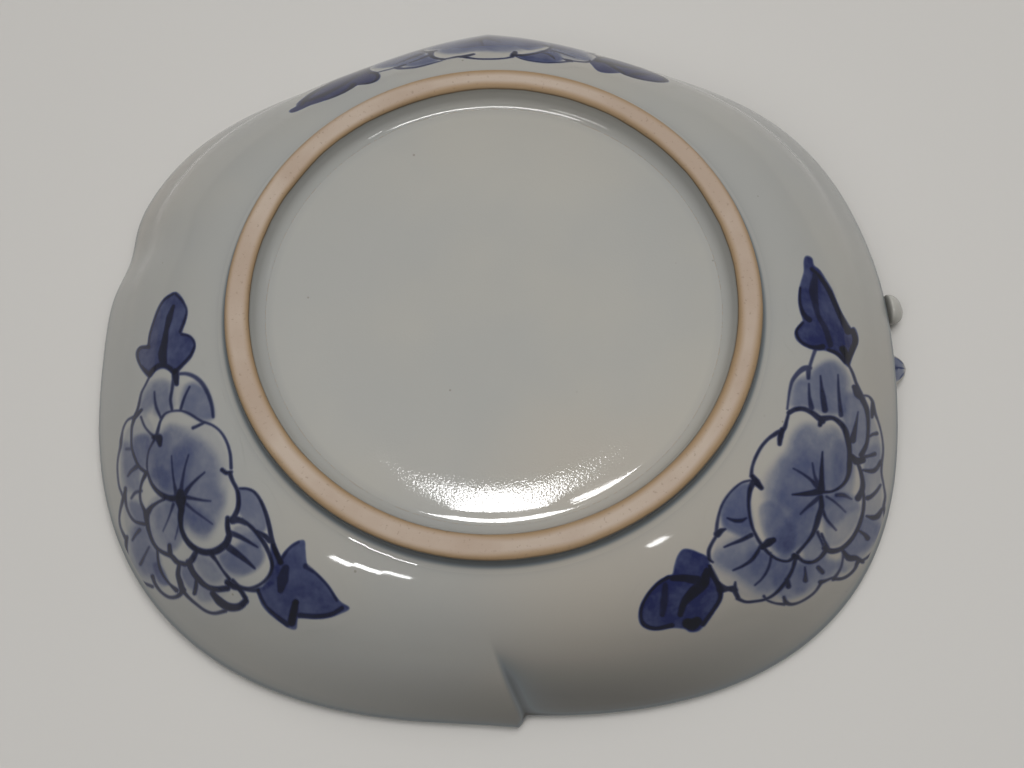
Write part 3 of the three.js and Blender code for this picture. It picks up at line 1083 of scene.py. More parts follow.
@dataclass
class RimLeaf(FrontStrip):
    """The leaf: a pointed blade with a rib, its end hanging over the rim."""

    angle: float = -4.1
    turned: float = -14.0
    thickness: float = 1.5
    width: float = 10.5
    length: float = 26.0
    overhang: float = 2.8
    widest_at: float = 0.75
    fullness: float = 0.65
    rib: float = 0.3
    rib_spread: float = 0.12
    margin: Span = (-0.88, -0.76)
    root: Span = (0.0, 0.03)
    point: Span = (-0.97, -0.92)
    veins: float = 9.0
    vein_slant: float = 1.2
    vein_edge: Span = (-0.12, -0.03)
    vein_start: Span = (0.06, 0.2)
    vein_share: float = 0.6
    rib_line: float = 0.07
    wash: float = 0.42
    line: float = 0.7
    pool: float = 0.15

    def raised(self, share: Array, angle: Array) -> Array:
        """Returns the raised rib along the middle of the blade."""
        rib = self.rib * bell(np.cos(angle), self.rib_spread) * (np.sin(angle) > 0)
        return 1.0 + rib + 0.0 * share

    def build(self, material: bpy.types.Material) -> bpy.types.Object:
        """Makes the leaf and returns it."""
        share = np.linspace(0.0, 1.0, self.stations)
        blade = np.sin(np.pi * share ** self.widest_at) ** self.fullness
        distance = (-self.plan.rim_thickness / 2 - self.overhang
                    + share * (self.length + self.overhang))
        across = abs(np.cos(np.linspace(0.0, 2 * np.pi, self.sides + 1)))[None, :]
        along = share[:, None]
        inside = smooth(-across, *self.margin)
        ends = smooth(along, *self.root) * smooth(-along, *self.point)
        slant = (along * self.veins - across * self.vein_slant) % 1.0
        side_veins = smooth(-abs(slant - 0.5), *self.vein_edge) * smooth(across, *self.vein_start)
        line = np.maximum(bell(across, self.rib_line), self.vein_share * side_veins)
        numbers = {"wash": self.wash * inside * ends, "line": self.line * (line * inside * ends),
                   "pool": self.pool + 0.0 * line}
        piece = self.strip("rim_leaf_painted", distance, self.angle + self.turned * share ** 2,
                           self.width * blade, self.thickness * np.minimum(1.0, 2 * blade),
                           self.thickness / 2, self.raised, **numbers)
        return dressed(piece, material, "leaf_blue", "rim_leaf")


def eased(points: Array, closed: bool, steps: int) -> Array:
    """Returns a smooth line through points, by the Catmull-Rom rule.

    Args:
        points: the points that the line goes through.
        closed: whether the last point joins the first.
        steps: pieces between two points.

    Returns:
        The line's points.
    """
    if closed:
        knots = np.vstack((points[-1:], points, points[:2]))
    else:
        knots = np.vstack((2 * points[:1] - points[1:2], points,
                           2 * points[-1:] - points[-2:-1]))
    share = np.linspace(0.0, 1.0, steps, endpoint=False)[None, :, None]
    before, start, end, after = (knots[i:len(knots) - 3 + i][:, None] for i in range(4))
    line = 0.5 * (2 * start + (end - before) * share
                  + (2 * before - 5 * start + 4 * end - after) * share ** 2
                  + (3 * start - before - 3 * end + after) * share ** 3)
    line = line.reshape(-1, 2)
    return line if closed else np.vstack((line, points[-1:]))


def gap_to(line: Array, half: Array, spots: Array) -> Array:
    """Returns how far spots lie outside a line of changing half width, in pixels."""
    start, along = line[:-1], line[1:] - line[:-1]
    offset = spots[:, None] - start[None]
    square = np.maximum((along ** 2).sum(-1), 1e-9)
    share = np.clip((offset * along).sum(-1) / square, 0.0, 1.0)
    distance = np.linalg.norm(offset - share[..., None] * along, axis=-1)
    return (distance - mixed(half[:-1], half[1:], share)).min(1)


@dataclass(frozen=True)
class Mark:
    """A mark of the brush, named for what it draws, with its points' pixels as x, y, x, y."""

    name: str
    path: tuple[float, ...]

    def points(self) -> Array:
        """Returns the points that the mark goes through."""
        return np.array(self.path, dtype=float).reshape(-1, 2)

    def gap(self, spots: Array) -> Array:
        """Returns how far spots lie outside the mark, in pixels, up to REACH."""
        raise NotImplementedError

    def near(self, spots: Array, line: Array, margin: float) -> Array:
        """Returns which spots are close enough to a line to matter."""
        low, high = line.min(0) - margin, line.max(0) + margin
        return np.flatnonzero(((spots > low) & (spots < high)).all(1))


@dataclass(frozen=True)
class Stroke(Mark):
    """A line of the brush, with its widths from end to end and its depth of colour."""

    widths: tuple[float, ...] = (3.0,)
    tone: float = 0.92

    def gap(self, spots: Array) -> Array:
        """Returns how far spots lie outside the stroke."""
        line = eased(self.points(), False, STROKE_STEPS)
        stations = np.linspace(0.0, 1.0, len(line))
        widths = np.interp(stations, np.linspace(0.0, 1.0, len(self.widths)), self.widths)
        half = CORE_SHARE * widths
        picked = self.near(spots, line, REACH + half.max())
        out = np.full(len(spots), REACH)
        out[picked] = np.minimum(gap_to(line, half, spots[picked]), REACH)
        return out


@dataclass(frozen=True)
class Wash(Mark):
    """A filled patch of thin colour with a soft edge."""

    tone: float = 0.5
    soft: float = 5.0

    def gap(self, spots: Array) -> Array:
        """Returns how far spots lie outside the patch, below 0 inside it."""
        line = eased(self.points(), True, WASH_STEPS)
        line = np.vstack((line, line[:1]))
        picked = self.near(spots, line, REACH)
        inner = spots[picked]
        outside = gap_to(line, np.zeros(len(line)), inner)
        start, end = line[:-1], line[1:]
        above = (start[:, 1] > inner[:, 1:]) != (end[:, 1] > inner[:, 1:])
        run = np.where(start[:, 1] == end[:, 1], 1.0, end[:, 1] - start[:, 1])
        cross = start[:, 0] + (end[:, 0] - start[:, 0]) * (inner[:, 1:] - start[:, 1]) / run
        inside = (above & (inner[:, :1] < cross)).sum(1) % 2 == 1
        out = np.full(len(spots), REACH)
        out[picked] = np.minimum(np.where(inside, -outside, outside), REACH)
        return out


@dataclass(frozen=True)
class Brushwork:
    """Everything that the brush leaves in one spray."""

    marks: tuple[Mark, ...]

    def ink(self, spots: Array) -> dict[str, Array]:
        """Returns line and wash from 0 to 1 and the gap to the nearest mark, at pixel spots."""
        line, clear, gap = np.zeros(len(spots)), np.ones(len(spots)), np.full(len(spots), REACH)
        for mark in self.marks:
            distance = mark.gap(spots)
            gap = np.minimum(gap, distance)
            if isinstance(mark, Stroke):
                line = np.maximum(line, mark.tone * smooth(-distance, *LINE_EDGE))
            elif isinstance(mark, Wash):
                low, high = (part * mark.soft for part in WASH_EDGE)
                clear *= 1 - mark.tone * smooth(-distance, low, high)
        return {"line": line, "wash": 1 - clear, "gap": gap}


LEFT_SPRAY = Brushwork((
    Wash("upper leaf", (175, 293, 181, 297, 185, 305, 187, 313, 185, 323, 181, 333, 189, 336,
        194, 341, 195, 348, 191, 356, 185, 363, 178, 370, 174, 374, 169, 370, 163, 368, 156, 371,
        150, 377, 143, 370, 139, 362, 137, 354, 140, 348, 148, 346, 150, 335, 153, 325, 158, 310,
        165, 299), 0.82, 1.6),
    Stroke("upper leaf, left edge", (174, 294, 164, 301, 156, 317, 151, 333, 149, 346),
        (2.5, 1.5, 1.5, 2), 0.75),
    Stroke("upper leaf, right edge", (176, 294, 184, 303, 187, 313, 181, 332), (3, 2, 2, 4), 0.7),
    Stroke("upper leaf, rib", (174, 306, 170, 318, 167, 330, 165, 343, 163, 354, 164, 364),
        (3, 7, 5, 7, 10, 8), 0.85),
    Stroke("upper leaf, right lobe", (182, 334, 191, 337, 195, 345, 191, 356, 183, 365, 177, 371),
        (3, 2, 2, 4, 4, 5), 0.75),
    Stroke("upper leaf, left lobe", (149, 347, 141, 348, 138, 355, 141, 365, 150, 375),
        (4, 3, 2, 2, 5), 0.75),
    Stroke("upper leaf, foot", (150, 374, 156, 368, 163, 365, 170, 368, 175, 373), (5, 5, 6, 5, 5),
        0.85),
    Stroke("leaf stalk", (176, 372, 176, 378, 177, 384), (8, 8, 5), 0.97),
    Wash("pale wash on the back petals", (146, 385, 165, 379, 176, 388, 200, 381, 211, 400,
        212, 417, 196, 416, 176, 406, 160, 414, 142, 407), 0.13, 4),
    Wash("pale wash on the left petals", (134, 424, 146, 416, 155, 440, 146, 470, 141, 492,
        146, 514, 148, 530, 158, 552, 166, 580, 158, 588, 142, 576, 130, 556, 128, 533, 124, 503,
        122, 470, 125, 438), 0.2, 3),
    Wash("pale wash on the low petals", (184, 562, 202, 554, 230, 541, 258, 532, 265, 552, 258, 568,
        240, 578, 222, 596, 206, 604, 190, 595, 178, 586), 0.15, 4),
    Wash("pale wash on the main petal", (152, 470, 150, 452, 160, 434, 170, 427, 184, 428, 206, 424,
        218, 436, 226, 456, 228, 482, 224, 502, 206, 516, 190, 516, 176, 494, 160, 484), 0.16, 5),
    Wash("main petal, blue on the left", (150, 472, 150, 452, 158, 438, 168, 436, 166, 456,
        160, 476), 0.25, 4),
    Wash("pale wash on the front petal", (150, 506, 160, 496, 172, 500, 182, 512, 184, 532,
        176, 548, 164, 550, 152, 534), 0.28, 4),
    Wash("back petal, left", (153, 386, 168, 384, 170, 398, 170, 409, 160, 414, 154, 404, 145, 412,
        143, 404), 0.33, 6),
    Stroke("back petal left, outer edge", (150, 377, 146, 385, 142, 393, 140, 402, 138, 410,
        135, 417), (2, 1.6, 2, 2.5, 3)),
    Stroke("back petal left, inner edge", (174, 380, 172.5, 390, 171, 400, 172.5, 410),
        (4, 3, 3, 3), 0.8),
    Stroke("back petal left, vein", (155, 392, 155.5, 400, 157, 408, 161, 417), (1.6, 2, 3, 2.5),
        0.75),
    Wash("back petal, right", (190, 386, 203, 390, 210, 403, 212, 417, 200, 417, 186, 410,
        184, 400), 0.42, 5),
    Stroke("back petal right, edge", (178, 374, 187, 374, 195, 377, 202, 383, 208, 393, 212, 405,
        213.5, 417), (3, 4, 4.5, 4.5, 4, 3), 0.72),
    Stroke("back petal right, vein", (190, 387, 186, 395, 183, 403, 181, 410), (1.8, 2.4, 3.2),
        0.75),
    Stroke("knot of the back petals", (142, 410, 138, 414, 134, 420), (3, 5, 3)),
    Stroke("main petal, top edge", (161, 418, 167, 413, 174, 411, 182, 411, 190, 414, 198, 419,
        204, 422.5), (2.4, 2, 2.2, 2.6, 3), 0.82),
    Stroke("main petal, first notch", (193.5, 428, 198, 426, 204, 423), (3.4, 3, 3), 0.85),
    Stroke("main petal, upper right edge", (204, 422, 213, 425.5, 221, 432, 227, 442, 230.5, 454,
        231.5, 468), (2.6, 2.2, 2.6, 3, 3.6), 0.85),
    Stroke("main petal, second notch", (222.5, 470, 227, 473, 232, 472), (4.6, 4.6, 3)),
    Stroke("main petal, lower right edge", (230, 473, 233, 481, 237.5, 490, 239, 500, 238, 509,
        234, 518), (5, 4, 4.5, 5, 6)),
    Stroke("main petal, third notch", (228, 518, 228, 527, 230, 536), (5, 5.5, 6.5), 0.97),
    Stroke("main petal, knot on the right", (233, 520, 239, 520, 246, 524), (9, 7, 3)),
    Stroke("main petal, underside", (230, 535, 226, 544, 216, 551, 205, 552, 195, 548, 187, 540,
        182, 529, 181, 518, 182, 509), (7, 8, 8, 7, 6.5, 5.5, 4.5, 6, 7), 0.97),
    Stroke("heart of the flower", (181, 492, 181, 499, 182, 508), (8, 13, 7), 0.97),
    Stroke("heart, to the left", (182, 498, 170, 498, 160, 493, 153, 485, 149.5, 477, 147.5, 471),
        (9, 6.5, 5, 3.4, 2.6, 2.6)),
    Stroke("main petal, left edge", (148, 472, 147.5, 463, 149, 452, 152, 445, 156, 438),
        (1.8, 1.6, 1.6, 3), 0.8),
    Stroke("knot above the left edge", (154, 437, 159, 438, 160.5, 445), (5, 9, 4)),
    Stroke("main petal, upper left edge", (157, 436, 159, 428, 161, 421, 165, 414.5), (4, 2.6, 2),
        0.85),
    Wash("main petal", (172, 428, 190, 438, 204, 446, 213, 458, 217, 472, 216, 486, 222, 500,
        220, 514, 214, 524, 206, 536, 194, 532, 188, 518, 182, 500, 168, 492, 155, 480, 153, 462,
        160, 448), 0.36, 8),
    Wash("main petal, blue by the heart", (176, 452, 187, 446, 192, 450, 188, 470, 184, 490,
        176, 492, 164, 490, 154, 477, 158, 470, 170, 472), 0.32, 6),
    Wash("main petal, blue below", (186, 504, 200, 512, 212, 524, 204, 530, 194, 528, 187, 518),
        0.3, 5),
    Stroke("vein, straight up", (177, 494, 174.5, 482, 173, 470, 172, 456), (5, 2.2, 1.6, 1), 0.72),
    Stroke("vein, up", (181, 493, 183, 480, 185.5, 467, 189, 455), (5, 3, 2, 1.4), 0.68),
    Stroke("vein, up to the right", (184, 495, 191, 485.5, 198, 478.5, 205, 472.5),
        (6, 3.4, 2.6, 1.6), 0.8),
    Stroke("vein, to the right", (186, 497, 194, 498.5, 203, 500.2, 211, 501), (5, 3, 2.2, 1.2),
        0.82),
    Stroke("vein, down to the right", (187, 504, 195, 511, 204, 517.5, 213, 524), (3.4, 2, 1.6, 1),
        0.66),
    Stroke("side petal, outer edge", (135, 418, 132.5, 427, 132, 438, 132.5, 448, 135.5, 458,
        140, 467, 147, 472.5), (3.4, 2, 2, 2.2, 2.6, 4)),
    Wash("side petal", (136, 440, 146, 436, 150, 442, 146, 456, 144, 466, 138, 458), 0.5, 4),
    Stroke("side petal, fold", (141.5, 417, 145, 426, 150, 432.5, 155, 437), (2, 1.8, 2, 3.4)),
    Stroke("rim petal, upper edge", (134, 417, 128, 420.5, 124, 428, 122, 438, 121, 447, 119, 456,
        118, 466, 118.5, 477, 120, 487, 123.5, 496), (2.6, 1.6, 1.4, 3, 1.8, 1.4, 1.4, 1.4, 2)),
    Wash("rim petal", (125, 446, 133, 448, 139, 462, 138, 478, 139, 490, 130, 486, 126, 470), 0.36,
        5),
    Stroke("rim petal, dash", (137, 467, 132, 471, 128.5, 476), (5, 3.5, 2), 0.7),
    Stroke("rim petal, short dash", (127, 449, 132, 449), (3, 3), 0.55),
    Stroke("lower side petal, inner edge", (147, 473, 143, 481, 140.8, 490, 141, 500, 143.5, 507,
        147, 514), (5, 2.4, 2, 2.4, 4)),
    Stroke("lower side petal, hook", (142, 491, 136, 492.5, 132, 498), (2.6, 3, 2.4), 0.75),
    Stroke("lower rim petal, edge", (126, 488, 125.8, 498, 127.5, 508, 131, 516, 136, 521.5,
        145, 524), (3, 3, 2, 2, 2.4, 4)),
    Wash("lower rim petal", (132, 503, 141, 506, 145, 518, 136, 518), 0.42, 4),
    Stroke("lower rim petal, outside", (126, 491, 123.5, 500, 121, 510, 120, 519, 121.5, 528,
        126, 538), (3.4, 3.4, 2, 1.4, 1.6, 3)),
    Stroke("front petal, upper edge", (165, 499, 158, 502.5, 152, 507, 147.5, 513),
        (3, 2.6, 4.5, 7)),
    Stroke("front petal, left edge", (147, 512, 147.5, 521, 149.5, 531, 153, 541, 158, 548.5,
        165, 553, 172, 556, 178, 562, 186, 564), (7, 5, 3.4, 3.4, 4, 5, 5.5, 5)),
    Wash("front petal", (160, 508, 172, 505, 179, 510, 179, 528, 174, 545, 166, 540, 158, 524),
        0.26, 7),
    Stroke("front petal, long vein", (174, 504, 171, 513, 167.5, 522, 163.5, 531),
        (3.4, 1.8, 1.4, 1), 0.7),
    Stroke("front petal, short vein", (180, 520, 178, 530, 175.5, 539), (2.6, 1.6, 1), 0.6),
    Stroke("front petal, dash", (170, 545, 170.5, 553), (4, 5.5)),
    Stroke("small petal, lower edge", (180, 562, 186, 564, 192, 560, 196, 553), (4, 5, 7, 6)),
    Wash("under petal, left", (134, 530, 146, 528, 152, 545, 157, 560, 152, 574, 140, 566,
        136, 548), 0.4, 6),
    Stroke("under petal left, dash", (140, 530, 136.5, 534, 133, 540), (4, 3, 2), 0.75),
    Stroke("under petal left, vein", (149.5, 547, 145.5, 555, 141, 564), (2, 2.4, 3.6), 0.72),
    Stroke("under petal left, outer edge", (127, 537, 127, 548, 129, 560, 134, 571, 142, 581,
        153, 586.5), (4, 2.4, 1.4, 1.4, 1.8, 3)),
    Stroke("under petal, middle edge", (158, 551, 159, 562, 163, 574, 170, 583.5, 177, 590),
        (2.4, 2.6, 2.2, 2, 5)),
    Wash("under petal, middle", (155, 565, 160, 566, 169, 583, 160, 581), 0.6, 2.5),
    Stroke("under petal middle, foot", (153, 576, 156, 584, 162, 592, 170, 597, 178, 596, 184, 590),
        (4, 3, 2.6, 3, 4, 6)),
    Stroke("pointed petal, right edge", (180, 563, 178.5, 574, 181, 583, 183, 591), (4, 5, 6, 7)),
    Wash("bottom petal", (184, 566, 193, 576, 195, 588, 190, 586, 184, 576), 0.42, 3),
    Wash("bottom petal, right", (199, 584, 210, 592, 210, 599, 200, 598), 0.3, 3),
    Stroke("bottom petal, lower edge", (183, 590, 189, 597, 197, 604, 206, 610.5, 215, 613,
        226, 610.5), (4, 3, 2.6, 2.8, 4)),
    Stroke("bottom petal, dash", (197, 577, 196.5, 586, 195, 593), (3.4, 4.4, 4.4)),
    Stroke("bottom petal, upper edge", (189, 562, 193, 571, 199, 579, 207, 586, 216, 589, 228, 588),
        (7, 6, 6.5, 5.5, 6.5, 6.5)),
    Wash("middle petal", (198, 558, 208, 560, 222, 574, 214, 580, 203, 572), 0.3, 6),
    Stroke("middle petal, right edge", (211, 553, 217, 561, 223, 570, 230, 579), (6, 3, 2.4, 4)),
    Stroke("curl, dark body", (213, 593, 220, 601, 229, 606.5, 239, 606.5, 246, 601),
        (6, 9, 9, 8, 7), 0.97),
    Stroke("curl, top", (228, 582, 234, 586, 240, 589, 246, 598), (7, 7, 5, 5), 0.97),
    Stroke("curl, to the leaf", (238, 587, 249, 589.5, 258, 590), (4, 4, 5)),
    Wash("fan petal", (222, 556, 232, 552, 244, 544, 258, 548, 262, 558, 254, 568, 240, 573,
        228, 568), 0.46, 5),
    Wash("fan petal, top", (236, 528, 246, 527, 257, 536, 260, 545, 246, 540, 236, 534), 0.34, 4),
    Stroke("fan petal, outer edge", (242, 520, 250, 525.5, 258, 534, 265, 544, 270, 555, 272.5, 566,
        269, 576, 261, 584, 250, 588, 240, 586, 233, 580), (5, 4, 4.5, 5, 4, 4, 3.4, 3.4, 3, 3, 4)),
    Stroke("fan petal, upper vein", (231, 533, 239, 536, 248, 541, 258, 547), (6, 5, 3.6, 1.6),
        0.85),
    Stroke("fan petal, lower vein", (229, 547, 237, 553, 246, 560, 255, 568), (8, 7, 5, 2.4), 0.85),
    Wash("top right petal", (239, 492, 250, 491, 258, 500, 264, 515, 265, 529, 256, 528, 246, 519,
        240, 510), 0.46, 3.5),
    Stroke("top right petal, edge", (240, 488.5, 248, 489, 255, 492.5, 261, 501, 266, 513,
        269.5, 526, 272, 539, 276, 551, 281, 562), (2.4, 2.6, 3.4, 4.4, 5, 5.5, 6.5)),
    Stroke("top right petal, foot", (257, 531, 264, 535, 270, 540), (3, 5, 7)),
    Wash("shade beside the fan petal", (272, 545, 280, 560, 276, 580, 264, 588, 272, 572), 0.85, 2),
    Wash("lower leaf", (258, 590, 264, 586, 270, 580, 275, 568, 280, 560, 285, 552, 291, 546,
        297, 542, 304, 541, 305, 549, 306, 560, 308, 567, 315, 572, 323, 579, 330, 587, 337, 598,
        342, 603, 349, 608, 340, 613, 328, 617, 315, 618, 299, 617, 296, 628, 289, 627, 283, 623,
        276, 618, 268, 611, 262, 603), 0.8, 1.6),
    Stroke("lower leaf, dark heart", (281, 590, 283, 579, 286, 568), (7, 13, 8), 0.72),
    Stroke("lower leaf, dark notch", (296, 602, 294, 612, 292, 622), (7, 9, 9), 0.97),
    Stroke("lower leaf, lower edge", (300, 615, 316, 616, 331, 614, 342, 608), (6, 5, 5, 5), 0.8),
    Stroke("lower leaf, right edge", (306, 566, 317, 574, 328, 586, 337, 600), (6, 3, 2, 3), 0.62),
    Stroke("lower leaf, left edge", (259, 592, 266, 605, 276, 615, 288, 624), (4, 3, 4, 6), 0.7),
    Stroke("lower leaf, top edge", (281, 560, 290, 548, 299, 542), (4, 2, 2), 0.62),
))

